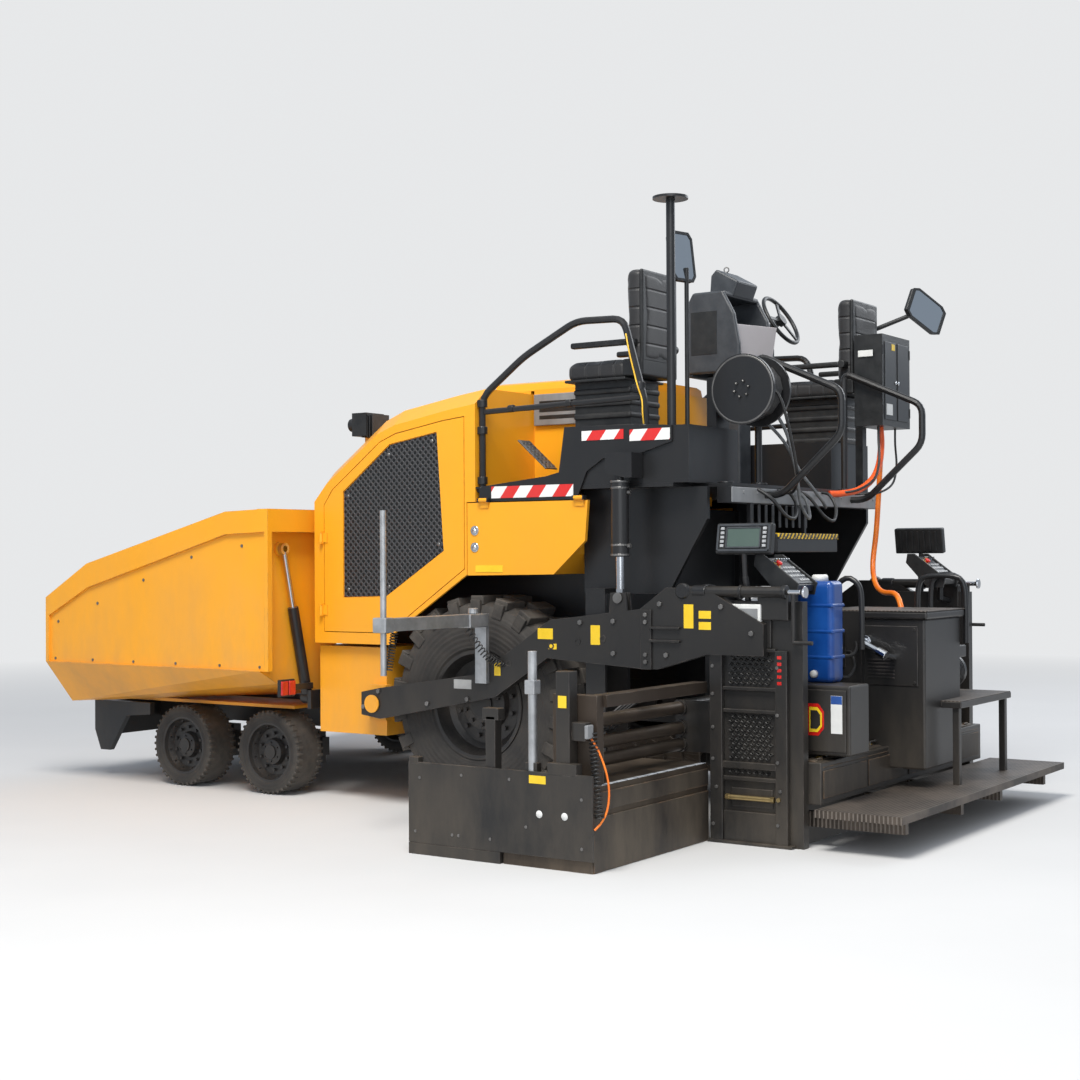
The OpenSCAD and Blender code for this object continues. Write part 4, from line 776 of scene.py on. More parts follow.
# Deck rails: the bent steel tube is in the part; here it gets its clamps, sleeves and welded
# base plates, all painted black.
shape = bmesh.new()
for x in (1.2, -1.2):
    for y, z in ((0.426, 2.0), (0.426, 2.30), (0.426, 2.46), (1.525, 2.50)):
        add_rod(shape, (x, y, z - 0.022), (x, y, z + 0.022), 0.031, edge=0.003)
        add_block(shape, (x - 0.012, y - 0.045, z - 0.012), (x + 0.012, y - 0.025, z + 0.012), 0.002)
    for y in (0.426, 1.56):
        floor_z = 1.9503 if y < 1 else 2.2703
        add_rod(shape, (x, y, floor_z), (x, y, floor_z + 0.010), 0.045, edge=0.002)
    for y, z in ((0.64, 2.42), (1.05, 2.43)):
        add_rod(shape, (x, y - 0.018, z), (x, y + 0.018, z), 0.022, edge=0.002)
for x, y in ((0.925, 1.92), (0.60, 1.965), (-0.60, 1.56), (-0.60, 1.963)):
    add_rod(shape, (x, y, 1.9503), (x, y, 1.9603), 0.046, edge=0.002)
finish_piece(shape, "rail_clamps", "machine", black_paint)


# Seats: suspension seats on rubber bellows; cushion and backrest are crowned foam in black
# vinyl with sewn channels, between two hinged armrests.
def swollen_pad(name, low, high, radius, cap, turn):
    """A cushion pressed out by a short cloth run, then smoothed once."""
    shape = bmesh.new()
    add_block(shape, low, high, radius, 3)
    mesh = bpy.data.meshes.new(name + "_form")
    shape.to_mesh(mesh)
    shape.free()
    pad = bpy.data.objects.new(name, mesh)
    bpy.context.scene.collection.objects.link(pad)
    voxels = pad.modifiers.new("voxels", "REMESH")
    voxels.mode = "VOXEL"
    voxels.voxel_size = 0.009
    even = bpy.data.meshes.new_from_object(pad.evaluated_get(bpy.context.evaluated_depsgraph_get()))
    pad.modifiers.clear()
    pad.data = even
    rest = [vert.co.copy() for vert in even.vertices]
    cloth = pad.modifiers.new("swell", "CLOTH")
    cloth.settings.use_pressure = True
    cloth.settings.uniform_pressure_force = 4.0
    cloth.settings.effector_weights.gravity = 0.0
    cloth.settings.quality = 4
    for step in range(1, 21):
        bpy.context.scene.frame_set(step)
    swollen = bpy.data.meshes.new_from_object(pad.evaluated_get(bpy.context.evaluated_depsgraph_get()))
    pad.modifiers.clear()
    pad.data = swollen
    for vert, start in zip(swollen.vertices, rest):
        move = vert.co - start
        if move.length > cap:
            vert.co = start + move.normalized() * cap
    bpy.context.scene.frame_set(1)
    final = pad.data
    final.name = name
    final.transform(turn)
    final.shade_smooth()
    return pad


def sewn_vinyl(name, axis, spacing, first):
    """Vinyl with sewn channels across it, at a fixed spacing along one axis."""
    material, tree = new_material(name)
    place = add_node(tree, "ShaderNodeTexCoord")
    parts = add_node(tree, "ShaderNodeSeparateXYZ", {0: place.outputs["Object"]})
    shifted = maths(tree, "ADD", parts.outputs[axis], -first)
    count = maths(tree, "MULTIPLY", shifted.outputs[0], 1 / spacing)
    within = maths(tree, "FRACT", count.outputs[0])
    centred = maths(tree, "SUBTRACT", within.outputs[0], 0.5)
    away = maths(tree, "ABSOLUTE", centred.outputs[0])
    groove = add_node(tree, "ShaderNodeMapRange", {"Value": away.outputs[0], "From Min": 0.5, "From Max": 0.40,
                      "To Min": 0.0, "To Max": 1.0}, interpolation_type="SMOOTHSTEP")
    grain = add_node(tree, "ShaderNodeTexVoronoi", {"Vector": place.outputs["Object"], "Scale": 420.0})
    clouds = add_node(tree, "ShaderNodeTexNoise", {"Vector": place.outputs["Object"], "Scale": 7.0, "Detail": 7.0})
    dusty = use_group(tree, dry_dust, Reach=3.4, Amount=0.16, Scale=9.0)
    tone = mix_colours(tree, clouds.outputs["Fac"], (0.010, 0.010, 0.011, 1), (0.024, 0.024, 0.026, 1))
    colour = mix_colours(tree, dusty.outputs["Mask"], tone, (0.16, 0.14, 0.12, 1))
    fine = add_node(tree, "ShaderNodeBump", {"Height": grain.outputs["Distance"], "Strength": 0.25,
                    "Distance": 0.0005})
    channel = add_node(tree, "ShaderNodeBump", {"Height": groove.outputs[0], "Strength": 0.8, "Distance": 0.008,
                       "Normal": fine.outputs[0]})
    add_surface(tree, {"Base Color": colour, "Roughness": 0.5, "Sheen Weight": 0.1, "Normal": channel.outputs[0]})
    return material


seat_z = 2.559
cushion_cover = sewn_vinyl("cushion_vinyl", "Y", 0.098, 0.0)
back_cover = sewn_vinyl("backrest_vinyl", "Z", 0.105, 0.03)
first_pads = {}
for name, seat_x, seat_y in (("left", 0.870, 1.170), ("right", -0.930, 1.670)):
    place = Matrix.Translation((seat_x, seat_y, seat_z))
    if name == "left":
        cushion = swollen_pad("seat_cushion_left", (-0.218, -0.228, 0.012), (0.218, 0.188, 0.108), 0.030, 0.016, place)
        back = swollen_pad("seat_back_left", (-0.212, 0.190, 0.075), (0.212, 0.286, 0.645), 0.034, 0.016, place)
        first_pads = {"cushion": cushion, "back": back, "place": place}
    else:
        move = place @ first_pads["place"].inverted()
        pads = []
        for part in ("cushion", "back"):
            mesh = first_pads[part].data.copy()
            mesh.name = "seat_%s_right" % part
            mesh.transform(move)
            pad = bpy.data.objects.new("seat_%s_right" % part, mesh)
            bpy.context.scene.collection.objects.link(pad)
            pads.append(pad)
        cushion, back = pads
    for pad, cover in ((cushion, cushion_cover), (back, back_cover)):
        pad.data.materials.append(cover)
        smooth = pad.modifiers.new("soft", "SUBSURF")
        smooth.levels = smooth.render_levels = 1
        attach(pad, "machine")
    if name == "left":
        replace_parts(cushion, "seats")
    shape = bmesh.new()
    add_block(shape, (-0.222, -0.225, 0.0), (0.222, 0.19, 0.016), 0.005, turn=place)
    add_block(shape, (-0.20, 0.272, 0.10), (0.20, 0.297, 0.63), 0.012, 3, turn=place)
    add_block(shape, (-0.20, 0.16, 0.02), (0.20, 0.296, 0.12), 0.010, turn=place)
    for sx in (-1, 1):
        add_side_block(shape, sx, (0.233, -0.15, 0.190), (0.277, 0.231, 0.225), 0.012, 3, turn=place)
        add_side_block(shape, sx, (0.19, 0.222, 0.186), (0.262, 0.262, 0.229), 0.006, turn=place)
        add_rod(shape, place @ Vector((sx * 0.228, 0.242, 0.2075)), place @ Vector((sx * 0.272, 0.242, 0.2075)), 0.026,
                edge=0.003)
    finish_piece(shape, "seat_frame_" + name, "machine", black_plastic)
    shape = bmesh.new()
    for k in range(8):
        z = 2.2708 + 0.036 * k
        wide = 0.172 if k % 2 == 0 else 0.148
        add_block(shape, (seat_x - wide, seat_y - wide - 0.025, z), (seat_x + wide, seat_y + wide + 0.025, z + 0.036),
                  0.013, 3)
    finish_piece(shape, "seat_bellows_" + name, "machine", black_rubber)


# Operator's console: a moulded arch that opens to the rear, with its visor box, desk, column and
# the slanted tube that holds the steering wheel. It carries a lifting ring, a pale tablet shield
# and four levers.
grey_plastic = moulded("console_plastic", (0.032, 0.036, 0.042), (0.05, 0.055, 0.062), 0.42, scale=110, bump=0.35)
shape = bmesh.new()
for x in (-0.76, -0.285):
    outline = ((1.012, 2.72), (1.012, 3.16), (1.060, 3.245), (1.28, 3.245), (1.36, 3.10), (1.398, 2.90), (1.398, 2.78),
               (1.34, 2.72))
    add_plate(shape, [(x, y, z) for y, z in outline], Vector((0.038, 0, 0)), 0.012)
for low, high, radius in (((-0.745, 1.012, 2.70), (-0.262, 1.052, 3.18), 0.010),
                          ((-0.745, 1.05, 3.215), (-0.262, 1.290, 3.250), 0.014),
                          ((-0.60, 1.10, 1.951), (-0.44, 1.30, 2.80), 0.010)):
    add_block(shape, low, high, radius)
add_plate(shape, [(-0.66, y, z) for y, z in ((1.12, 3.235), (1.13, 3.37), (1.17, 3.41), (1.33, 3.32), (1.29, 3.22))],
          Vector((0.29, 0, 0)), 0.012)
add_plate(shape, [(-0.73, y, z) for y, z in ((1.03, 2.78), (1.03, 2.90), (1.39, 2.80), (1.39, 2.74))],
          Vector((0.455, 0, 0)), 0.006)
add_rod(shape, (-0.745, 1.20, 2.90), (-0.99, 1.252, 3.085), 0.025)
add_rod(shape, (-0.99, 1.235, 3.075), (-0.99, 1.313, 3.12), 0.025)
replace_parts(finish_piece(shape, "console_shell", "machine", grey_plastic), "console")
shape = bmesh.new()
add_block(shape, (-0.73, 1.005, 2.80), (-0.28, 1.013, 3.15), 0.003)
for x in (-0.7625, -0.2490):
    add_block(shape, (x, 1.05, 2.84), (x + 0.004, 1.24, 3.12), 0.0015)
finish_piece(shape, "console_trim", "machine", black_plastic)
ring = bmesh.new()
add_turned(ring, [(-0.004, 0.016), (0.0, 0.020), (0.004, 0.016), (0.0, 0.012), (-0.004, 0.016)],
           (-0.515, 1.17, 3.424), (1, 0.3, 0), 20)
finish_piece(ring, "console_ring", "machine", bolt_steel, smooth=True)
pale_sheet = moulded("pale_shield", (0.50, 0.47, 0.48), (0.60, 0.57, 0.58), 0.25, scale=8, bump=0.05, coat=0.3)
tablet_place = Matrix.Translation((-0.50, 1.33, 2.79)) @ Matrix.Rotation(math.radians(-20), 4, "Z") \
    @ Matrix.Rotation(math.radians(-12), 4, "X")
shape = bmesh.new()
add_block(shape, (-0.197, 0.0105, 0.004), (0.197, 0.0155, 0.254), 0.004, 3, turn=tablet_place)
finish_piece(shape, "tablet_shield", "machine", pale_sheet)
shape = bmesh.new()
for x, y in ((-0.68, 1.24), (-0.62, 1.27), (-0.36, 1.25), (-0.31, 1.22)):
    add_rod(shape, (x, y, 2.83), (x, y, 2.92), 0.007, edge=0.001)
    add_turned(shape, [(0, 0.0), (0.004, 0.012), (0.02, 0.017), (0.036, 0.012), (0.04, 0.0)], (x, y, 2.912),
               (0, 0, 1), 16)
finish_piece(shape, "console_levers", "machine", black_plastic, smooth=True)


# Mirrors: shallow moulded shells on bent tubes with a round foot, each with a rim and a flat
# glass that faces the operator's side. The table gives name, width, height and place.
mirror_glass, tree = new_material("mirror_glass")
place = add_node(tree, "ShaderNodeTexCoord")
smear = add_node(tree, "ShaderNodeTexNoise", {"Vector": place.outputs["Object"], "Scale": 22.0, "Detail": 8.0})
rough = add_node(tree, "ShaderNodeMapRange", {"Value": smear.outputs["Fac"], "From Min": 0.45, "From Max": 0.7,
                 "To Min": 0.02, "To Max": 0.22})
add_surface(tree, {"Base Color": (0.42, 0.45, 0.48, 1), "Metallic": 1.0, "Roughness": rough.outputs[0]})
mirror_places = (
    ("left", 0.180, 0.290, Matrix.Translation((0.985, 1.690, 3.100)) @ Matrix.Rotation(math.radians(-15), 4, "Z")
     @ Matrix.Rotation(math.radians(8), 4, "X")),
    ("right", 0.340, 0.210, Matrix.Translation((-1.300, 2.200, 3.060)) @ Matrix.Rotation(math.radians(-20), 4, "Z")
     @ Matrix.Rotation(math.radians(-25), 4, "Y")),
)
mirror_outline = [(-0.5, 0.12), (-0.36, 0), (0.36, 0), (0.5, 0.12), (0.5, 0.88), (0.36, 1), (-0.36, 1), (-0.5, 0.88)]
shape = bmesh.new()
for name, wide, high, place in mirror_places:
    add_plate(shape, [place @ Vector((x * wide, -0.022, z * high)) for x, z in mirror_outline],
              place.to_3x3() @ Vector((0, 0.031, 0)), 0.008)
for start, end, radius in (((0.97, 1.70, 2.2705), (0.97, 1.70, 3.18), 0.013),
                           ((-1.17, 1.70, 2.2705), (-1.17, 1.70, 2.98), 0.015),
                           ((-1.17, 1.70, 2.97), (-1.30, 2.18, 3.15), 0.015),
                           ((-1.17, 1.70, 2.2703), (-1.17, 1.70, 2.29), 0.030),
                           ((0.97, 1.70, 2.2703), (0.97, 1.70, 2.29), 0.030)):
    add_rod(shape, start, end, radius, edge=0.001)
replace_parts(finish_piece(shape, "mirror_shells", "machine", black_plastic), "mirrors")
for name, wide, high, place in mirror_places:
    shape = bmesh.new()
    glass_outline = [(-0.44, 0.14), (-0.33, 0.05), (0.33, 0.05), (0.44, 0.14), (0.44, 0.86), (0.33, 0.95),
                     (-0.33, 0.95), (-0.44, 0.86)]
    add_plate(shape, [place @ Vector((x * wide, 0.0101, z * high)) for x, z in glass_outline],
              place.to_3x3() @ Vector((0, 0.0015, 0)))
    finish_piece(shape, "mirror_glass_" + name, "machine", mirror_glass)
    shape = bmesh.new()
    outer_ring = [shape.verts.new(place @ Vector((x * wide * 1.01, 0.009, (z - 0.5) * high * 1.01 + high / 2)))
                  for x, z in mirror_outline]
    inner_ring = [shape.verts.new(place @ Vector((x * wide, 0.009, z * high))) for x, z in glass_outline]
    edges = [shape.edges.new((ring[k], ring[(k + 1) % 8])) for ring in (outer_ring, inner_ring) for k in range(8)]
    made = bmesh.ops.bridge_loops(shape, edges=edges)["faces"]
    grown = bmesh.ops.extrude_face_region(shape, geom=made)["geom"]
    bmesh.ops.translate(shape, vec=place.to_3x3() @ Vector((0, 0.007, 0)),
                        verts=[v for v in grown if isinstance(v, bmesh.types.BMVert)])
    finish_piece(shape, "mirror_rim_" + name, "machine", black_plastic)


# Electrical box: the sheet steel cabinet gets two doors on hinges, chromed quarter-turn locks
# and blank plates.
shape = bmesh.new()
for x in (-1.078, -0.870):
    add_block(shape, (x + 0.012, 2.1995, 2.40), (x + 0.188, 2.205, 2.895), 0.003)
for z in (2.46, 2.84):
    for x in (-1.092, -0.656):
        add_rod(shape, (x, 2.199, z - 0.03), (x, 2.199, z + 0.03), 0.007, edge=0.001)
finish_piece(shape, "cabinet_doors", "machine", black_paint)
shape = bmesh.new()
for x in (-0.893, -0.852):
    add_turned(shape, [(0, 0.0), (0, 0.013), (0.005, 0.012), (0.007, 0.006), (0.007, 0.0)], (x, 2.2052, 2.64),
               (0, 1, 0), 20)
finish_piece(shape, "cabinet_locks", "machine", chrome, smooth=True)
blank_white = moulded("blank_white_foil", (0.62, 0.62, 0.60), (0.74, 0.74, 0.72), 0.34, scale=50, bump=0.1)
for name, low, high, finish in (
    ("cabinet_plate_yellow", (-0.84, 2.205, 2.845), (-0.79, 2.2065, 2.885), blank_yellow),
    ("cabinet_plate_low", (-0.80, 2.205, 2.43), (-0.70, 2.2065, 2.50), blank_white),
    ("cabinet_plate_top", (-0.6415, 2.04, 2.80), (-0.6400, 2.14, 2.84), blank_white),
):
    shape = bmesh.new()
    add_block(shape, low, high, 0.0004, 1)
    finish_piece(shape, name, "machine", finish)


# Hose reel: rings and bolts on the two pressed discs, the wound hose on the drum between them
# and a brass swivel in the hub.
shape = bmesh.new()
reel = Vector((0.770, 2.000, 2.480))
for sx in (-1, 1):
    add_turned(shape, [(sx * 0.1085, 0.196), (sx * 0.113, 0.190), (sx * 0.1085, 0.182)], reel, (1, 0, 0), 48)
    for r in (0.150, 0.110, 0.082):
        add_turned(shape, [(sx * 0.103, r + 0.006), (sx * 0.1095, r), (sx * 0.103, r - 0.006)], reel, (1, 0, 0), 48)
    for k in range(6):
        a = math.radians(60 * k + 15)
        y, z = reel.y + 0.045 * math.cos(a), reel.z + 0.045 * math.sin(a)
        add_rod(shape, (reel.x + sx * 0.115, y, z), (reel.x + sx * 0.126, y, z), 0.007, segments=6)
finish_piece(shape, "reel_rings", "machine", bolt_steel, smooth=True)
wound = []
for k in range(14 * 11 + 1):
    a = 2 * math.pi * k / 14
    wound.append((reel.x - 0.075 + 0.150 * k / (14 * 11), reel.y + 0.1585 * math.cos(a),
                  reel.z + 0.1585 * math.sin(a)))
lay_cord("wound_hose", wound, 0.0125, black_rubber, "machine")
brass = moulded("brass_fitting", (0.42, 0.30, 0.13), (0.55, 0.42, 0.20), 0.3, scale=60, metal=0.9)
shape = bmesh.new()
add_rod(shape, (0.660, 2.0, 2.48), (0.650, 2.0, 2.48), 0.030, segments=6, edge=0.002)
add_rod(shape, (0.655, 2.0, 2.48), (0.626, 2.0, 2.48), 0.016, edge=0.002)
add_rod(shape, (0.640, 2.0, 2.485), (0.640, 2.045, 2.405), 0.013, edge=0.002)
add_rod(shape, (0.640, 2.030, 2.432), (0.640, 2.042, 2.410), 0.019, segments=6, edge=0.001)
finish_piece(shape, "reel_swivel", "machine", brass)


# Work lights: pairs of round glass lenses in black bezels with cooling ribs, on the cast
# housings that look over the hopper.
lens_glass = moulded("lamp_lens", (0.55, 0.57, 0.60), (0.70, 0.72, 0.75), 0.10, scale=300, bump=0.6, metal=0.3,
                     coat=0.8)
lamp_xs, lamp_y, lamp_z = (0.842, 0.938), -0.725, 2.405
for side, sx in SIDES:
    shape = bmesh.new()
    for x in lamp_xs:
        add_turned(shape, [(-0.0942, 0.0), (-0.0955, 0.030), (-0.0942, 0.036)], (sx * x, lamp_y, lamp_z), (0, 1, 0),
                   32)
    finish_piece(shape, "lamp_lenses_" + side, "machine", lens_glass, smooth=True)
    shape = bmesh.new()
    for x in lamp_xs:
        add_turned(shape, [(-0.088, 0.0425), (-0.0965, 0.0425), (-0.0965, 0.036), (-0.0935, 0.036)],
                   (sx * x, lamp_y, lamp_z), (0, 1, 0), 32)
    for k in range(5):
        add_block(shape, (sx * 0.89 - 0.085, -0.71 + 0.022 * k, 2.32), (sx * 0.89 + 0.085, -0.704 + 0.022 * k, 2.47),
                  0.001, 1)
    finish_piece(shape, "lamp_bezels_" + side, "machine", black_plastic)


# Tow arms: thick plate with hexagon bolts, blank yellow plates and a blank pale field; at the
# rear the depth actuator with its chromed rod, and above the collars of the lift cylinder.
stencil = moulded("blank_stencil", (0.30, 0.30, 0.30), (0.42, 0.42, 0.41), 0.45, scale=60, bump=0.2)
for side, sx in SIDES:
    arm_x, face, actuator_z = sx * 1.3, 1.3281, 1.35
    shape = bmesh.new()
    for y, z, wide, high in ((0.62, 0.885, 0.045, 0.075), (0.96, 1.10, 0.105, 0.062), (1.01, 1.028, 0.055, 0.032),
                             (1.30, 1.10, 0.062, 0.110), (1.90, 1.215, 0.060, 0.130), (2.00, 1.225, 0.075, 0.042),
                             (2.00, 1.165, 0.075, 0.042)):
        add_side_block(shape, sx, (face, y - wide / 2, z - high / 2), (face + 0.0015, y + wide / 2, z + high / 2),
                       0.0005, 1)
    finish_piece(shape, "arm_plates_" + side, "screed", blank_yellow)
    shape = bmesh.new()
    add_side_block(shape, sx, (face, 0.30, 0.760), (face + 0.0012, 0.43, 0.815), 0.0005, 1)
    finish_piece(shape, "arm_stencil_" + side, "screed", stencil)
    shape = bmesh.new()
    for y, z in ((0.40, 0.70), (1.20, 1.17), (1.42, 1.18), (1.42, 1.00), (1.72, 1.28), (1.76, 1.00), (2.10, 1.27),
                 (2.28, 1.13), (0.10, 0.66), (-0.28, 0.72), (-0.40, 0.62)):
        add_rod(shape, (sx * (face - 0.002), y, z), (sx * (face + 0.012), y, z), 0.015, segments=6, edge=0.0015)
    for z in (0.96, 1.00, 1.18, 1.22):
        add_rod(shape, (sx * 1.3395, 1.635, z), (sx * 1.350, 1.635, z), 0.013, segments=6, edge=0.0015)
    finish_piece(shape, "arm_bolts_" + side, "screed", bolt_steel)
    shape = bmesh.new()
    add_turned(shape, [(0, 0.0), (0, 0.040), (0.012, 0.044), (0.030, 0.044), (0.040, 0.036), (0.040, 0.0)],
               (arm_x, 1.862, 1.352), (sx, 0, 0), 28)
    add_rod(shape, (arm_x, 2.20, actuator_z), (arm_x, 2.215, actuator_z), 0.038, edge=0.003)
    add_rod(shape, (arm_x, 2.45, actuator_z), (arm_x, 2.475, actuator_z), 0.037, edge=0.003)
    add_rod(shape, (arm_x, 1.92, actuator_z), (arm_x, 2.00, actuator_z), 0.036, edge=0.004)
    finish_piece(shape, "actuator_collars_" + side, "screed", black_paint)
    shape = bmesh.new()
    add_turned(shape, [(0, 0.0), (0, 0.030), (0.006, 0.033), (0.012, 0.030), (0.012, 0.0)],
               (arm_x, 2.5725, actuator_z), (0, 1, 0), 28)
    add_rod(shape, (arm_x, 2.484, actuator_z), (arm_x, 2.556, actuator_z), 0.0142, edge=0.001)
    finish_piece(shape, "actuator_ends_" + side, "screed", chrome)
    shape = bmesh.new()
    for z, r in ((1.545, 0.056), (1.60, 0.053), (1.92, 0.052), (1.955, 0.055)):
        add_rod(shape, (arm_x, 1.45, z), (arm_x, 1.45, z + 0.012), r, edge=0.002)
    add_rod(shape, (arm_x, 1.501, 1.90), (arm_x, 1.520, 1.90), 0.013, segments=6, edge=0.001)
    add_rod(shape, (arm_x, 1.501, 1.60), (arm_x, 1.520, 1.60), 0.013, segments=6, edge=0.001)
    finish_piece(shape, "lift_collars_" + side, "lift_cylinder_" + side, bolt_steel)
    shape = bmesh.new()
    add_rod(shape, (sx * 1.272, 1.45, 1.31), (sx * 1.262, 1.45, 1.31), 0.030, edge=0.002)
    add_rod(shape, (sx * 1.328, 1.45, 1.31), (sx * 1.338, 1.45, 1.31), 0.030, edge=0.002)
    finish_piece(shape, "lift_eye_caps_" + side, "screed", bolt_steel)
    shape = bmesh.new()
    add_rod(shape, (arm_x, 1.89, actuator_z), (arm_x, 2.46, actuator_z), 0.030, edge=0.004)
    add_rod(shape, (arm_x, 2.45, actuator_z), (arm_x, 2.572, actuator_z), 0.014, edge=0.001)
    add_rod(shape, (arm_x, 2.51, actuator_z), (arm_x, 2.51, 1.085), 0.011, edge=0.001)
    add_rod(shape, (arm_x, 2.51, 1.085), (arm_x, 2.62, 1.085), 0.011, edge=0.001)
    add_side_block(shape, sx, (1.327, 1.60, 0.918), (1.340, 1.67, 1.248), 0.003)
    for z in (1.070, 1.142):
        add_side_block(shape, sx, (1.327, 1.66, z), (1.350, 1.85, z + 0.014), 0.003)
    add_side_block(shape, sx, (1.205, 2.30, 1.20), (1.300, 2.48, 1.345), 0.006)
    for y in (0.70, 0.84, 1.0, 1.18, 1.35):
        z = 0.90 + 0.12 * math.sin(min(1.0, (y - 0.70) / 0.40) * math.pi / 2) + 0.12 * max(0.0, y - 1.0)
        add_turned(shape, [(0.0275, 0.020), (0.031, 0.020), (0.031, 0.012), (0.0275, 0.012)], (arm_x, y, z + 0.02),
                   (sx, 0, 0), 20)
    finish_piece(shape, "arm_fittings_" + side, "screed", screed_paint)


# Ladder columns: flanged posts on the side plates with framed openings, expanded steel treads
# between them, a cross bolt with lock nuts and a blank white plate box at the top.
lattice_steel = moulded("expanded_steel", (0.016, 0.016, 0.016), (0.05, 0.047, 0.043), 0.38, scale=60, bump=0.3)
column_face = 1.2668
for side, sx in SIDES:
    shape = bmesh.new()
    for y0, y1, z0, z1, x1 in ((2.010, 2.085, 0.0, 1.04, 1.300), (2.400, 2.470, 0.0, 1.04, 1.300),
                               (2.085, 2.400, 0.340, 0.362, 1.292), (2.085, 2.400, 0.404, 0.440, 1.292),
                               (2.085, 2.400, 0.702, 0.722, 1.292), (2.085, 2.400, 0.822, 0.842, 1.292),
                               (2.085, 2.400, 1.030, 1.050, 1.292), (2.085, 2.400, 0.0, 0.175, 1.286),
                               (2.014, 2.372, 1.052, 1.300, 1.284), (2.128, 2.372, 0.200, 0.300, 1.276)):
        add_side_block(shape, sx, (column_face, y0, z0), (x1, y1, z1), 0.004)
    add_side_block(shape, sx, (column_face, 1.995, 0.0), (1.310, 2.50, 0.016), 0.004)
    finish_piece(shape, "column_relief_" + side, "screed", screed_paint)
    shape = bmesh.new()
    for low_z, high_z in ((0.372, 0.398), (0.452, 0.694), (0.852, 1.022)):
        rows = max(1, round((high_z - low_z) / 0.024))
        for row in range(rows):
            z = low_z + (high_z - low_z) * (row + 0.5) / rows
            for k in range(7):
                y = 2.128 + 0.036 * k + (0.018 if row % 2 else 0.0)
                if y > 2.366:
                    continue
                place = (Matrix.Translation((sx * 1.2735, y, z)) @ Matrix.Rotation(math.radians(90 * sx), 4, "Y")
                         @ Matrix.Scale(0.66, 4, (1, 0, 0)))
                bmesh.ops.create_cone(shape, cap_ends=False, segments=4, radius1=0.0165, radius2=0.013, depth=0.010,
                                      matrix=place)
    bmesh.ops.solidify(shape, geom=shape.faces[:], thickness=0.003)
    finish_piece(shape, "step_lattice_" + side, "screed", lattice_steel)
    shape = bmesh.new()
    for y in (2.108, 2.118, 2.374, 2.384):
        add_rod(shape, (sx * 1.292, y - 0.006, 0.25), (sx * 1.292, y + 0.006, 0.25), 0.0165, segments=6, edge=0.0012)
    add_rod(shape, (sx * 1.292, 2.118, 0.25), (sx * 1.292, 2.374, 0.25), 0.0136, edge=0.001)
    add_rod(shape, (sx * 1.300, 2.42, 0.255), (sx * 1.312, 2.42, 0.255), 0.012, segments=6, edge=0.001)
    finish_piece(shape, "column_bolt_" + side, "screed", brass)
    shape = bmesh.new()
    for y, z in ((2.03, 0.95), (2.03, 0.80), (2.03, 0.62), (2.03, 0.45), (2.03, 0.10), (2.415, 0.95), (2.415, 0.70),
                 (2.415, 0.45), (2.415, 0.12), (2.05, 0.30), (2.43, 0.30)):
        add_rod(shape, (sx * 1.299, y, z), (sx * 1.307, y, z), 0.010, segments=6, edge=0.001)
    finish_piece(shape, "column_bolts_" + side, "screed", bolt_steel)
    shape = bmesh.new()
    add_side_block(shape, sx, (1.2838, 2.135, 1.178), (1.314, 2.325, 1.285), 0.006, 3)
    finish_piece(shape, "white_box_" + side, "screed", blank_white)
    shape = bmesh.new()
    add_side_block(shape, sx, (1.314, 2.150, 1.192), (1.317, 2.310, 1.262), 0.001)
    add_rod(shape, (sx * 1.317, 2.22, 1.20), (sx * 1.317, 2.26, 1.20), 0.004)
    finish_piece(shape, "white_box_lid_" + side, "screed", grey_sheet)
    shape = bmesh.new()
    for k in range(5):
        add_side_block(shape, sx, (1.3002, 2.415, 0.86 + 0.034 * k), (1.3014, 2.440, 0.877 + 0.034 * k), 0.0003, 1)
    finish_piece(shape, "striped_tape_" + side, "screed", lamp_glass)


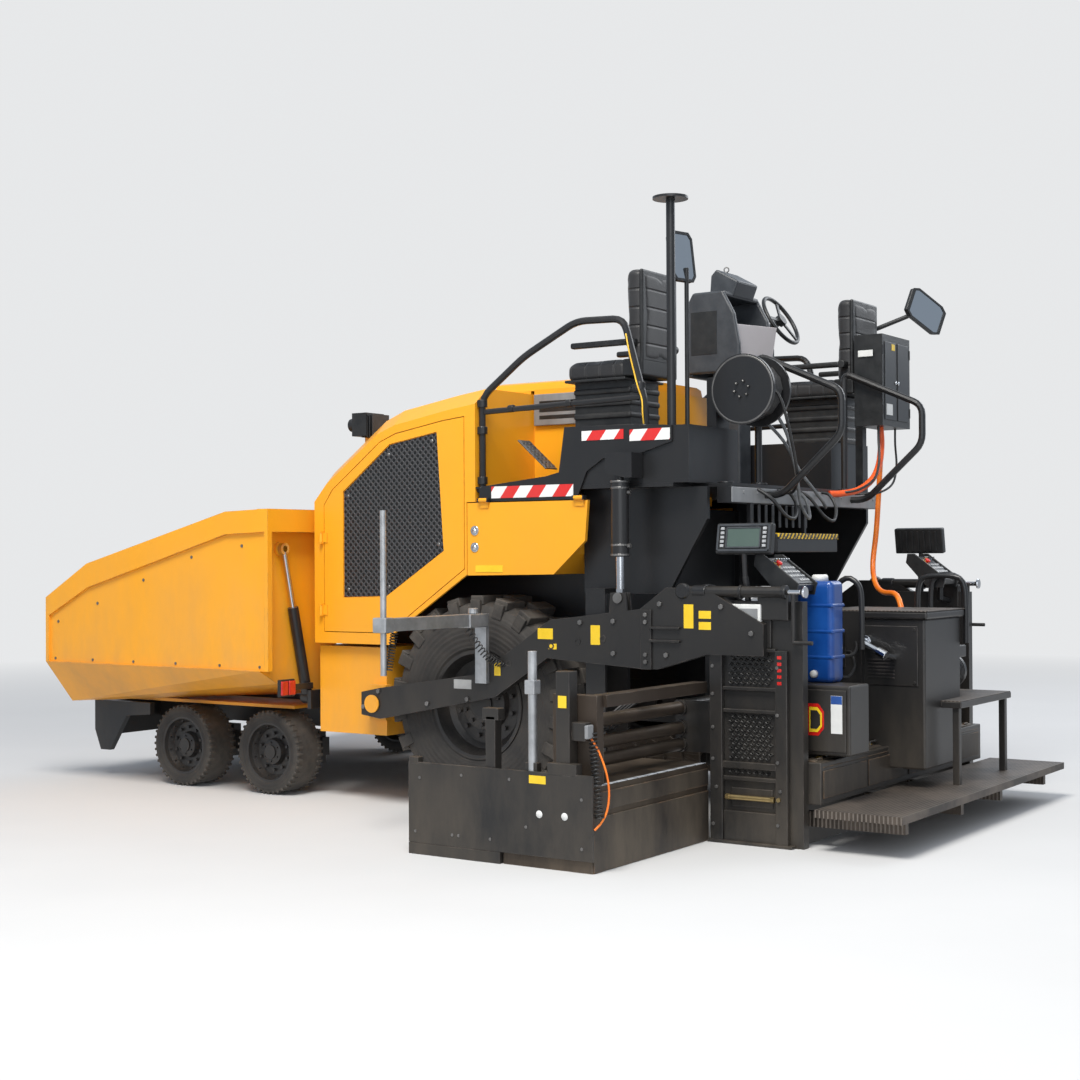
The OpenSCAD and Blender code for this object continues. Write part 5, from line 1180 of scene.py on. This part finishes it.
# Screed controls: ribbed plastic housings on steel posts. Display heads have a sunken greenish
# screen and square keys, keyboards have pale keys, toggle switches and a red stop button on a
# yellow ring.
screen_glass = moulded("display_glass", (0.045, 0.075, 0.062), (0.075, 0.11, 0.092), 0.12, scale=10, bump=0.02,
                       coat=0.7)
stop_red = moulded("stop_red", (0.60, 0.012, 0.01), (0.72, 0.02, 0.015), 0.3, scale=100, bump=0.1, coat=0.3)
key_grey = moulded("key_caps", (0.30, 0.31, 0.32), (0.42, 0.43, 0.44), 0.4, scale=100, bump=0.1)
for side, sx in SIDES:
    head = Matrix.Translation((sx * 1.262, 2.205, 1.54)) @ Matrix.Rotation(math.radians(-10 * sx), 4, "Y")
    shape = bmesh.new()
    add_block(shape, (-0.024, -0.165, 0.012), (0.024, 0.165, 0.178), 0.008, 3, turn=head)
    for k in range(7):
        add_side_block(shape, sx, (-0.024, -0.13 + 0.04 * k, 0.03), (-0.034, -0.115 + 0.04 * k, 0.16), 0.002,
                       turn=head)
    x0, x1 = sorted((sx * 0.96, sx * 1.18))
    add_plate(shape, [(x0, y, z) for y, z in ((2.235, 1.50), (2.25, 1.53), (2.28, 1.53), (2.475, 1.385), (2.465, 1.35),
                                              (2.38, 1.345))], Vector((x1 - x0, 0, 0)), 0.005)
    for x in (x0 - 0.012, x1):
        add_plate(shape, [(x, y, z) for y, z in ((2.225, 1.49), (2.235, 1.548), (2.285, 1.548), (2.49, 1.395),
                                                 (2.475, 1.33), (2.37, 1.33))], Vector((0.012, 0, 0)), 0.003)
    housing = finish_piece(shape, "control_housings_" + side, "screed", black_plastic)
    if side == "left":
        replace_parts(housing, "screed_controls")
    shape = bmesh.new()
    add_rod(shape, (sx * 1.262, 2.205, 1.56), (sx * 1.250, 2.205, 1.42), 0.014, edge=0.001)
    add_rod(shape, (sx * 1.250, 2.205, 1.43), (sx * 1.235, 2.215, 1.295), 0.017, edge=0.002)
    add_rod(shape, (sx * 1.07, 2.41, 1.36), (sx * 1.07, 2.41, 1.25), 0.018, edge=0.002)
    add_rod(shape, (sx * 1.07, 2.41, 1.26), (sx * 1.21, 2.41, 1.24), 0.018, edge=0.002)
    finish_piece(shape, "control_posts_" + side, "screed", black_paint)
    shape = bmesh.new()
    for low, high in (((0.0242, -0.148, 0.160), (0.031, 0.148, 0.171)),
                      ((0.0242, -0.148, 0.022), (0.031, 0.148, 0.034)),
                      ((0.0242, -0.158, 0.030), (0.031, -0.146, 0.166)),
                      ((0.0242, 0.146, 0.030), (0.031, 0.158, 0.166)),
                      ((0.0242, -0.104, 0.040), (0.030, -0.096, 0.156)),
                      ((0.0242, 0.096, 0.040), (0.030, 0.104, 0.156)),
                      ((0.0242, -0.104, 0.148), (0.030, 0.104, 0.156)),
                      ((0.0242, -0.104, 0.040), (0.030, 0.104, 0.048))):
        add_side_block(shape, sx, low, high, 0.002, turn=head)
    finish_piece(shape, "display_bezel_" + side, "screed", grey_plastic)
    shape = bmesh.new()
    add_side_block(shape, sx, (0.0241, -0.096, 0.048), (0.0262, 0.096, 0.148), 0.0005, 1, turn=head)
    finish_piece(shape, "display_screen_" + side, "screed", screen_glass)
    shape = bmesh.new()
    for y in (-0.126, 0.126):
        for k in range(5):
            add_side_block(shape, sx, (0.0245, y - 0.011, 0.046 + 0.0235 * k),
                           (0.0300, y + 0.011, 0.061 + 0.0235 * k), 0.002, turn=head)
    finish_piece(shape, "display_keys_" + side, "screed", key_grey)
    slope = Matrix.Translation((sx * 1.07, 2.3775, 1.4575)) @ Matrix.Rotation(math.radians(-36.6), 4, "X")
    shape = bmesh.new()
    add_block(shape, (-0.105, -0.112, 0.001), (0.105, 0.112, 0.005), 0.002, turn=slope)
    finish_piece(shape, "keyboard_panel_" + side, "screed", grey_plastic)
    shape = bmesh.new()
    for row in range(4):
        for column in range(6):
            if row == 0 and column in (4, 5):
                continue
            x, y = -0.083 + 0.030 * column, 0.085 - 0.036 * row
            add_block(shape, (x - 0.009, y - 0.009, 0.005), (x + 0.009, y + 0.009, 0.010), 0.0025, turn=slope)
    finish_piece(shape, "keyboard_keys_" + side, "screed", key_grey)
    shape = bmesh.new()
    for x in (-0.08, -0.05, -0.02, 0.01, 0.04, 0.07):
        start = slope @ Vector((x, -0.080, 0.004))
        add_rod(shape, start, slope @ Vector((x, -0.080, 0.010)), 0.008, segments=12)
        add_rod(shape, slope @ Vector((x, -0.080, 0.010)), slope @ Vector((x, -0.072, 0.032)), 0.0025, 0.0035,
                segments=8)
    finish_piece(shape, "keyboard_switches_" + side, "screed", chrome)
    normal, stop_place = slope.to_3x3() @ Vector((0, 0, 1)), slope @ Vector((0.075, -0.045, 0))
    shape = bmesh.new()
    add_turned(shape, [(0.004, 0.0), (0.004, 0.026), (0.008, 0.025), (0.008, 0.0)], stop_place, normal, 24)
    finish_piece(shape, "stop_ring_" + side, "screed", blank_yellow, smooth=True)
    shape = bmesh.new()
    add_turned(shape, [(0.008, 0.0), (0.008, 0.009), (0.018, 0.009), (0.020, 0.019), (0.030, 0.018), (0.034, 0.012),
                       (0.035, 0.0)], stop_place, normal, 24)
    finish_piece(shape, "stop_button_" + side, "screed", stop_red, smooth=True)


# Release fluid tank: a blue moulded can with rounded corners, ribs and a screw cap, on the
# cabinet whose door carries a blank label and a red and yellow reflector.
tank_blue = moulded("tank_blue", (0.004, 0.045, 0.22), (0.008, 0.07, 0.30), 0.3, scale=60, bump=0.15, coat=0.3)
shape = bmesh.new()
add_block(shape, (0.803, 2.363, 0.852), (0.957, 2.577, 1.404), 0.030, 4)
for z in (0.98, 1.12, 1.26):
    add_block(shape, (0.799, 2.359, z), (0.961, 2.581, z + 0.022), 0.010, 3)
finish_piece(shape, "fluid_tank", "screed", tank_blue)
shape = bmesh.new()
add_turned(shape, [(1.400, 0.040), (1.402, 0.046), (1.430, 0.044), (1.438, 0.036), (1.438, 0.0)], (0.88, 2.47, 0),
           (0, 0, 1), 28)
add_turned(shape, [(0, 0.0), (0, 0.022), (0.020, 0.020), (0.028, 0.012), (0.028, 0.0)], (0.957, 2.47, 0.90),
           (1, 0, 0), 24)
finish_piece(shape, "tank_caps", "screed", blank_white, smooth=True)
shape = bmesh.new()
add_block(shape, (1.1003, 2.40, 0.50), (1.112, 2.72, 0.83), 0.006, 3)
finish_piece(shape, "label_box_door", "screed", screed_paint)
shape = bmesh.new()
add_block(shape, (1.112, 2.635, 0.60), (1.1135, 2.70, 0.80), 0.0005, 1)
finish_piece(shape, "label_white", "screed", blank_white)
shape = bmesh.new()
add_block(shape, (1.1132, 2.636, 0.755), (1.1140, 2.699, 0.799), 0.0003, 1)
finish_piece(shape, "label_blue_top", "screed", tank_blue)
for name, grow, push, finish in (("red", 1.0, 0.0, lamp_glass), ("pale", 0.78, 0.0012, blank_yellow),
                                 ("middle", 0.58, 0.0024, screed_paint)):
    shape = bmesh.new()
    outline = [(-0.045, -0.085), (0.018, -0.085), (0.050, -0.045), (0.050, 0.045), (0.018, 0.085), (-0.045, 0.085)]
    add_plate(shape, [(1.1122 + push, 2.545 + y * grow, 0.67 + z * grow) for y, z in outline],
              Vector((0.0012, 0, 0)))
    finish_piece(shape, "reflector_" + name, "screed", finish)


# Housings behind the screed, of folded steel: generator box, control cabinet, tool lockers with
# rusty lids, a raised step and the hoops of the handrail. Treads are chequer plate; the blower
# has cooling fins, the exhaust is chromed.
def chequer_plate():
    material, tree = new_material("chequer_plate")
    place = add_node(tree, "ShaderNodeTexCoord")
    heights = []
    for turn, shift in ((45, 0.0), (-45, 0.5)):
        turned_place = add_node(tree, "ShaderNodeMapping", {"Vector": place.outputs["Object"],
                                "Rotation": (0, 0, math.radians(turn)), "Scale": (26, 60, 1),
                                "Location": (shift, shift, 0)})
        parts = add_node(tree, "ShaderNodeSeparateXYZ", {0: turned_place.outputs[0]})
        waves = [maths(tree, "SINE", maths(tree, "MULTIPLY", parts.outputs[axis], math.pi).outputs[0])
                 for axis in ("X", "Y")]
        product = maths(tree, "MULTIPLY", waves[0].outputs[0], waves[1].outputs[0])
        heights.append(add_node(tree, "ShaderNodeMapRange", {"Value": product.outputs[0], "From Min": 0.45,
                                "From Max": 0.75}))
    both = maths(tree, "MAXIMUM", heights[0].outputs[0], heights[1].outputs[0])
    clouds = add_node(tree, "ShaderNodeTexNoise", {"Vector": place.outputs["Object"], "Scale": 3.5, "Detail": 9.0,
                      "Roughness": 0.7})
    ramp = add_node(tree, "ShaderNodeMapRange", {"Value": clouds.outputs["Fac"], "From Min": 0.40, "From Max": 0.62})
    base = mix_colours(tree, ramp.outputs[0], (0.035, 0.028, 0.023, 1), (0.12, 0.095, 0.075, 1))
    colour = mix_colours(tree, both.outputs[0], base, (0.20, 0.17, 0.145, 1))
    bumped = add_node(tree, "ShaderNodeBump", {"Height": both.outputs[0], "Strength": 0.8, "Distance": 0.003})
    add_surface(tree, {"Base Color": colour, "Roughness": 0.48, "Metallic": 0.45, "Normal": bumped.outputs[0]})
    return material


chequer = chequer_plate()
dress("screed_walkway", chequer)
shape = bmesh.new()
for low, high, radius in (((-0.26, 2.470, 0.33), (0.30, 2.84, 1.18), 0.012),
                          ((-0.28, 2.18, 1.179), (0.32, 2.86, 1.2208), 0.010),
                          ((0.85, 2.350, 0.48), (1.10, 2.74, 0.852), 0.010),
                          ((-0.96, 2.350, 0.329), (-0.48, 2.56, 1.06), 0.010),
                          ((-0.80, 2.559, 0.664), (0.06, 2.96, 0.7005), 0.005),
                          ((-0.47, 2.70, 0.929), (-0.33, 2.80, 1.0), 0.008),
                          ((-1.207, 2.487, 0.23), (1.207, 2.62, 0.4524), 0.006),
                          ((0.85, 2.380, 0.852), (0.93, 2.46, 1.10), 0.004),
                          ((-0.78, 2.90, 0.20), (-0.74, 2.94, 0.668), 0.004),
                          ((0.0, 2.90, 0.20), (0.04, 2.94, 0.668), 0.004)):
    add_block(shape, low, high, radius)
finish_piece(shape, "screed_housings", "screed", screed_paint)
blower_y, blower_z = 2.69, 0.84
shape = bmesh.new()
add_rod(shape, (-0.50, blower_y, blower_z), (-0.26, blower_y, blower_z), 0.104, segments=40, edge=0.008)
add_rod(shape, (-0.54, blower_y, blower_z), (-0.49, blower_y, blower_z), 0.070, segments=32, edge=0.006)
add_block(shape, (-0.46, 2.62, 0.705), (-0.30, 2.76, 0.75), 0.004)
finish_piece(shape, "blower_body", "screed", black_paint)
for name, x, y0, y1 in (("1", -0.30, 2.56, 2.86), ("2", -0.925, 2.40, 2.62), ("3", 0.62, 2.44, 2.60)):
    route = smooth_route([(x, y0, 1.02), (x, y0, 1.22), (x, y0 + 0.01, 1.36), (x, y0 + 0.06, 1.41),
                          (x, y1 - 0.06, 1.41), (x, y1 - 0.01, 1.36), (x, y1, 1.22), (x, y1, 1.02)], 32)
    hoop = mesh_of(cord_curve("screed_hoop_" + name, route, 0.032, black_paint, None))
    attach(hoop, "screed")
shape = bmesh.new()
add_block(shape, (-0.283, 2.177, 1.2205), (0.323, 2.863, 1.2265), 0.002)
add_block(shape, (-0.797, 2.562, 0.7003), (0.057, 2.957, 0.7055), 0.002)
finish_piece(shape, "chequer_covers", "screed", chequer)
shape = bmesh.new()
add_block(shape, (0.3003, 2.42, 0.80), (0.306, 2.80, 1.14), 0.004)
for y, z in ((2.44, 0.82), (2.78, 0.82), (2.44, 1.12), (2.78, 1.12)):
    add_rod(shape, (0.305, y, z), (0.312, y, z), 0.009, segments=6, edge=0.001)
for k in range(6):
    add_block(shape, (0.306, 2.50, 0.84 + 0.020 * k), (0.311, 2.66, 0.848 + 0.020 * k), 0.001, 1)
finish_piece(shape, "generator_side", "screed", screed_paint)
shape = bmesh.new()
add_rod(shape, (0.306, 2.50, 1.05), (0.345, 2.50, 1.05), 0.034, edge=0.003)
add_turned(shape, [(0, 0.024), (0.030, 0.028), (0.034, 0.022), (0.060, 0.022)], (0.345, 2.50, 1.05), (1, 0.25, -0.2),
           24)
add_rod(shape, (0.395, 2.515, 1.04), (0.41, 2.64, 0.98), 0.020, edge=0.002)
add_rod(shape, (0.405, 2.60, 1.0), (0.412, 2.655, 0.973), 0.027, segments=12, edge=0.002)
add_rod(shape, (0.41, 2.64, 0.98), (0.306, 2.66, 0.96), 0.017, edge=0.002)
finish_piece(shape, "exhaust_elbow", "screed", chrome)
shape = bmesh.new()
for k in range(9):
    add_turned(shape, [(0, 0.104), (0, 0.1085), (0.006, 0.1085), (0.006, 0.104)],
               (-0.45 + 0.022 * k, blower_y, blower_z), (1, 0, 0), 36)
add_turned(shape, [(-0.002, 0.0), (-0.012, 0.05), (-0.012, 0.066), (0.0, 0.072)], (-0.248, blower_y, blower_z),
           (1, 0, 0), 32)
finish_piece(shape, "blower_fins", "screed", black_paint)
rusty = painted_steel("rusty_lid", (0.022, 0.017, 0.014), (0.17, 0.09, 0.045), 0.5, rub=1.0, dust=0.35, reach=0.9,
                      spread=1.0, rub_width=0.012)
locker_edge = moulded("locker_edge_yellow", (0.62, 0.36, 0.02), (0.74, 0.45, 0.03), 0.4, scale=50)
lid_slope = Matrix.Translation((0, 2.590, 0.438)) @ Matrix.Rotation(math.radians(-28), 4, "X")
for name, x0, x1 in (("1", 0.62, 1.19), ("2", 0.04, 0.60), ("3", -0.56, 0.02), ("4", -1.16, -0.58)):
    shape = bmesh.new()
    add_block(shape, (x0 + 0.006, 2.500, 0.4522), (x1 - 0.006, 2.562, 0.4585), 0.002)
    add_block(shape, (x0 + 0.006, -0.034, -0.001), (x1 - 0.006, 0.034, 0.006), 0.002, turn=lid_slope)
    add_block(shape, (x0 + 0.006, 2.6202, 0.262), (x1 - 0.006, 2.6265, 0.408), 0.003)
    for x in (x0 + 0.08, x1 - 0.08):
        add_rod(shape, (x - 0.03, 2.565, 0.4600), (x + 0.03, 2.565, 0.4600), 0.008)
    finish_piece(shape, "locker_lid_" + name, "screed", rusty)
    shape = bmesh.new()
    middle = (x0 + x1) / 2
    add_block(shape, (middle - 0.13, 2.505, 0.4585), (middle + 0.13, 2.520, 0.4600), 0.0005, 1)
    finish_piece(shape, "locker_strip_" + name, "screed", locker_edge)
    shape = bmesh.new()
    for x in (middle - 0.06, middle + 0.06):
        add_rod(shape, (x, 2.540, 0.4580), (x, 2.540, 0.482), 0.005, segments=10)
    add_rod(shape, (middle - 0.065, 2.540, 0.482), (middle + 0.065, 2.540, 0.482), 0.005, segments=10, edge=0.001)
    finish_piece(shape, "locker_handle_" + name, "screed", bolt_steel)


# Extensions: scale tape along the top edge, hydraulic manifold with chromed elbows and hoses,
# wear plates with bolts. End gates: plate and shoe, sensor column with a grey box, clamped
# galvanised post, foot brackets, plugs and blank plates.
scale_tape, tree = new_material("scale_tape")
place = add_node(tree, "ShaderNodeTexCoord")
parts = add_node(tree, "ShaderNodeSeparateXYZ", {0: place.outputs["Object"]})
fine_count = maths(tree, "MULTIPLY", parts.outputs["X"], 50.0)
fine_share = maths(tree, "FRACT", fine_count.outputs[0])
fine_tick = maths(tree, "LESS_THAN", fine_share.outputs[0], 0.28)
long_count = maths(tree, "MULTIPLY", parts.outputs["X"], 10.0)
long_share = maths(tree, "FRACT", long_count.outputs[0])
long_tick = maths(tree, "LESS_THAN", long_share.outputs[0], 0.12)
edge_part = maths(tree, "LESS_THAN", parts.outputs["Y"], 1.463)
short_tick = maths(tree, "MULTIPLY", fine_tick.outputs[0], edge_part.outputs[0])
tick = maths(tree, "MAXIMUM", short_tick.outputs[0], long_tick.outputs[0])
dirty = use_group(tree, dry_dust, Reach=0.9, Amount=0.35, Scale=20.0)
colour = mix_colours(tree, tick.outputs[0], (0.62, 0.66, 0.70, 1), (0.02, 0.05, 0.12, 1))
colour = mix_colours(tree, dirty.outputs["Mask"], colour, (0.14, 0.12, 0.10, 1))
add_surface(tree, {"Base Color": colour, "Roughness": 0.4})
for side, sx in SIDES:
    body = "extension_" + side
    shape = bmesh.new()
    add_side_block(shape, sx, (1.29, 1.9500, 0.4202), (2.43, 1.9795, 0.4220), 0.0005, 1)
    finish_piece(shape, "scale_strip_" + side, body, scale_tape)
    shape = bmesh.new()
    for k in range(6):
        x = sx * (1.36 + 0.2 * k)
        for z in (0.06, 0.22):
            add_rod(shape, (x, 1.9795, z), (x, 1.986, z), 0.012, segments=16, edge=0.001)
    finish_piece(shape, "extension_bolts_" + side, body, bolt_steel)
    shape = bmesh.new()
    add_side_block(shape, sx, (1.275, 1.9802, 0.002), (2.435, 1.9880, 0.272), 0.003)
    add_side_block(shape, sx, (1.275, 1.9802, 0.300), (2.435, 1.9870, 0.392), 0.003)
    finish_piece(shape, "extension_skirt_" + side, body, rusty)
    shape = bmesh.new()
    add_side_block(shape, sx, (1.60, 1.875, 0.800), (1.78, 1.9005, 0.855), 0.005, 2)
    finish_piece(shape, "hose_manifold_" + side, body, black_paint)
    shape = bmesh.new()
    for k in range(4):
        x = sx * (1.625 + 0.044 * k)
        add_rod(shape, (x, 1.878, 0.824), (x, 1.864, 0.820), 0.015, segments=6, edge=0.001)
        add_rod(shape, (x, 1.868, 0.821), (x, 1.832, 0.808), 0.011, segments=12, edge=0.001)
    finish_piece(shape, "manifold_elbows_" + side, body, chrome)
    for k in range(4):
        x0 = 1.625 + 0.044 * k
        route = smooth_route([(sx * x0, 1.874, 0.823), (sx * x0, 1.840, 0.811), (sx * (x0 + 0.015), 1.785, 0.785),
                              (sx * (x0 + 0.10), 1.735, 0.72), (sx * (x0 + 0.20), 1.726, 0.64),
                              (sx * (x0 + 0.32), 1.724, 0.655), (sx * (2.16 + 0.015 * k), 1.724, 0.66 - 0.03 * k),
                              (sx * 2.2985, 1.735 + 0.004 * k, 0.62 - 0.04 * k)], 30)
        lay_cord("manifold_hose_%d_%s" % (k + 1, side), route, 0.015, black_rubber, body)
    shape = bmesh.new()
    for y in (1.68, 1.83):
        add_turned(shape, [(0, 0.0), (0, 0.027), (0.001, 0.027), (0.001, 0.019), (0.004, 0.017), (0.004, 0.0)],
                   (sx * 2.4549, y, 0.27), (sx, 0, 0), 28)
    finish_piece(shape, "gate_plugs_" + side, body, blank_white, smooth=True)
    shape = bmesh.new()
    for y, z in ((0.93, 0.40), (1.20, 0.43), (1.50, 0.43), (1.93, 0.36), (1.93, 0.12), (0.90, 0.12), (1.14, 0.12),
                 (1.18, 0.12), (1.38, 0.12), (1.60, 0.20)):
        add_rod(shape, (sx * 2.4545, y, z), (sx * 2.4590, y, z), 0.009, segments=6, edge=0.001)
    finish_piece(shape, "gate_bolts_" + side, body, bolt_steel)
    shape = bmesh.new()
    add_side_block(shape, sx, (2.4561, 1.62, 0.42), (2.4575, 1.72, 0.46), 0.0005, 1)
    add_side_block(shape, sx, (2.4402, 1.785, 0.80), (2.4420, 1.835, 0.86), 0.0005, 1)
    finish_piece(shape, "gate_plates_" + side, body, blank_yellow)
    shape = bmesh.new()
    add_side_block(shape, sx, (2.372, 1.9302, 0.652), (2.430, 1.950, 0.720), 0.006, 3)
    finish_piece(shape, "sensor_box_lid_" + side, body, grey_sheet)
    shape = bmesh.new()
    for x0, x1, y0, y1, z0, z1 in ((2.364, 2.4385, 1.77, 1.85, 0.4202, 0.98),
                                   (2.3605, 2.420, 1.849, 1.930, 0.64, 0.73),
                                   (2.379, 2.4385, 1.34, 1.40, 0.40, 0.739), (2.379, 2.4385, 1.32, 1.42, 0.719, 0.779),
                                   (2.400, 2.4585, 1.73, 1.90, 0.470, 0.529),
                                   (2.395, 2.4385, 1.585, 1.655, 0.434, 0.520),
                                   (2.410, 2.4585, 0.86, 0.92, 0.470, 0.505), (2.350, 2.4385, 1.08, 1.13, 0.06, 0.30),
                                   (2.350, 2.4385, 1.34, 1.39, 0.06, 0.30)):
        add_side_block(shape, sx, (x0, y0, z0), (x1, y1, z1), 0.004)
    for x0, x1, y0, y1, z0, z1 in ((2.4393, 2.4560, 0.854, 1.992, 0.060, 0.479),
                                   (2.369, 2.4570, 0.854, 1.440, 0.0, 0.0597)):
        add_side_block(shape, sx, (x0, y0, z0), (x1, y1, z1), 0.003)
    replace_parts(finish_piece(shape, "gate_fittings_" + side, body, screed_paint), "end_gate_" + side)
    shape = bmesh.new()
    add_rod(shape, (sx * 2.421, 1.62, 0.434), (sx * 2.421, 1.62, 1.074), 0.023, edge=0.002)
    add_side_block(shape, sx, (2.392, 1.590, 0.86), (2.450, 1.650, 0.93), 0.004)
    finish_piece(shape, "gate_post_" + side, body, galvanised)


# Sensor arms: the clamps that hold the galvanised square tube on the tow arm and at its outer
# end, with a faceted hand knob on the inner one.
for side, sx in SIDES:
    shape = bmesh.new()
    add_turned(shape, [(0, 0.022), (0.004, 0.030), (0.030, 0.030), (0.034, 0.024), (0.034, 0.0)],
               (sx * 1.43, 0.52, 1.2105), (0, 0, 1), 12)
    add_side_block(shape, sx, (1.345, 0.472, 1.132), (1.52, 0.568, 1.2105), 0.006, 2)
    add_side_block(shape, sx, (2.212, 0.474, 1.134), (2.288, 0.566, 1.216), 0.006, 2)
    finish_piece(shape, "arm_clamps_" + side, "screed", galvanised)


# Deck beam and hazard step: weathered sheet and pressed ribs behind the deck, a step with
# slanted yellow bars on its edge. The barrels of the work lights are in the same piece as the step.
def hazard_edge():
    material, tree = new_material("hazard_edge")
    place = add_node(tree, "ShaderNodeTexCoord")
    parts = add_node(tree, "ShaderNodeSeparateXYZ", {0: place.outputs["Object"]})
    slant = maths(tree, "ADD", parts.outputs["Y"], parts.outputs["Z"])
    along = maths(tree, "ADD", parts.outputs["X"], slant.outputs[0])
    count = maths(tree, "MULTIPLY", along.outputs[0], 22.0)
    share = maths(tree, "FRACT", count.outputs[0])
    bar = maths(tree, "GREATER_THAN", share.outputs[0], 0.5)
    worn = add_node(tree, "ShaderNodeTexNoise", {"Vector": place.outputs["Object"], "Scale": 40.0, "Detail": 8.0})
    gone = add_node(tree, "ShaderNodeMapRange", {"Value": worn.outputs["Fac"], "From Min": 0.55, "From Max": 0.62})
    colour = mix_colours(tree, bar.outputs[0], (0.015, 0.015, 0.015, 1), (0.80, 0.50, 0.02, 1))
    colour = mix_colours(tree, gone.outputs[0], colour, (0.10, 0.085, 0.07, 1))
    bumped = add_node(tree, "ShaderNodeBump", {"Height": worn.outputs["Fac"], "Strength": 0.3, "Distance": 0.001})
    add_surface(tree, {"Base Color": colour, "Roughness": 0.5, "Normal": bumped.outputs[0]})
    return material


shape = bmesh.new()
add_block(shape, (0.022, 2.186, 1.636), (0.820, 2.194, 1.668), 0.002)
add_block(shape, (0.022, 2.150, 1.6642), (0.820, 2.190, 1.668), 0.001, 1)
finish_piece(shape, "hazard_edges", "machine", hazard_edge())
shape = bmesh.new()
add_block(shape, (-0.996, 2.0003, 1.842), (1.016, 2.006, 1.928), 0.003)
for k in range(12):
    x = -0.94 + 0.165 * k
    add_rod(shape, (x, 2.005, 1.90), (x, 2.011, 1.90), 0.009, segments=6, edge=0.001)
finish_piece(shape, "deck_beam_face", "machine", grey_sheet)
shape = bmesh.new()
for k in range(9):
    x = 0.045 + 0.088 * k
    add_block(shape, (x, 1.9955, 1.705), (x + 0.030, 2.003, 1.835), 0.003)
finish_piece(shape, "beam_ribs", "machine", black_paint)
shape = bmesh.new()
add_block(shape, (0.020, 1.969, 1.560), (0.822, 2.187, 1.6645), 0.006)
for x in (0.06, 0.76):
    add_block(shape, (x, 1.975, 1.60), (x + 0.025, 2.004, 1.88), 0.003)
for _, sx in SIDES:
    for x in lamp_xs:
        add_rod(shape, (sx * x, -0.780, lamp_z), (sx * x, -0.8145, lamp_z), 0.0425, edge=0.003)
finish_piece(shape, "hazard_step", "machine", black_paint)


# Augers: a helical steel flight welded round the shaft, left-handed on one side and right-handed
# on the other, worn bare.
shaft_y, shaft_z = 1.24, 0.33
turn_steps, flight_steps = 24, 120
root_radius, tip_radius, flight_thickness = 0.046, 0.164, 0.014
for side, sx in SIDES:
    shape = bmesh.new()
    add_rod(shape, (sx * 0.0525, shaft_y, shaft_z), (sx * 1.1995, shaft_y, shaft_z), 0.050, segments=28, edge=0.003)
    rows = []
    for k in range(flight_steps + 1):
        a, x = sx * 2 * math.pi * k / turn_steps, sx * (0.09 + 1.06 * k / flight_steps)
        row = []
        for radius, shift in ((root_radius, 0.0), (tip_radius, 0.0), (tip_radius, flight_thickness),
                              (root_radius, flight_thickness)):
            row.append(shape.verts.new((x + sx * shift, shaft_y + radius * math.cos(a),
                                        shaft_z + radius * math.sin(a))))
        rows.append(row)
    for a, b in zip(rows, rows[1:]):
        for i in range(4):
            shape.faces.new((a[i], a[(i + 1) % 4], b[(i + 1) % 4], b[i]))
    shape.faces.new(rows[0])
    shape.faces.new(rows[-1])
    piece = finish_piece(shape, "auger_flight_" + side, "auger_" + side, worn_plate)
    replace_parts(piece, "auger_" + side)


# Bounds of the dressed machine, not counting the floor.
low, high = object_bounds()
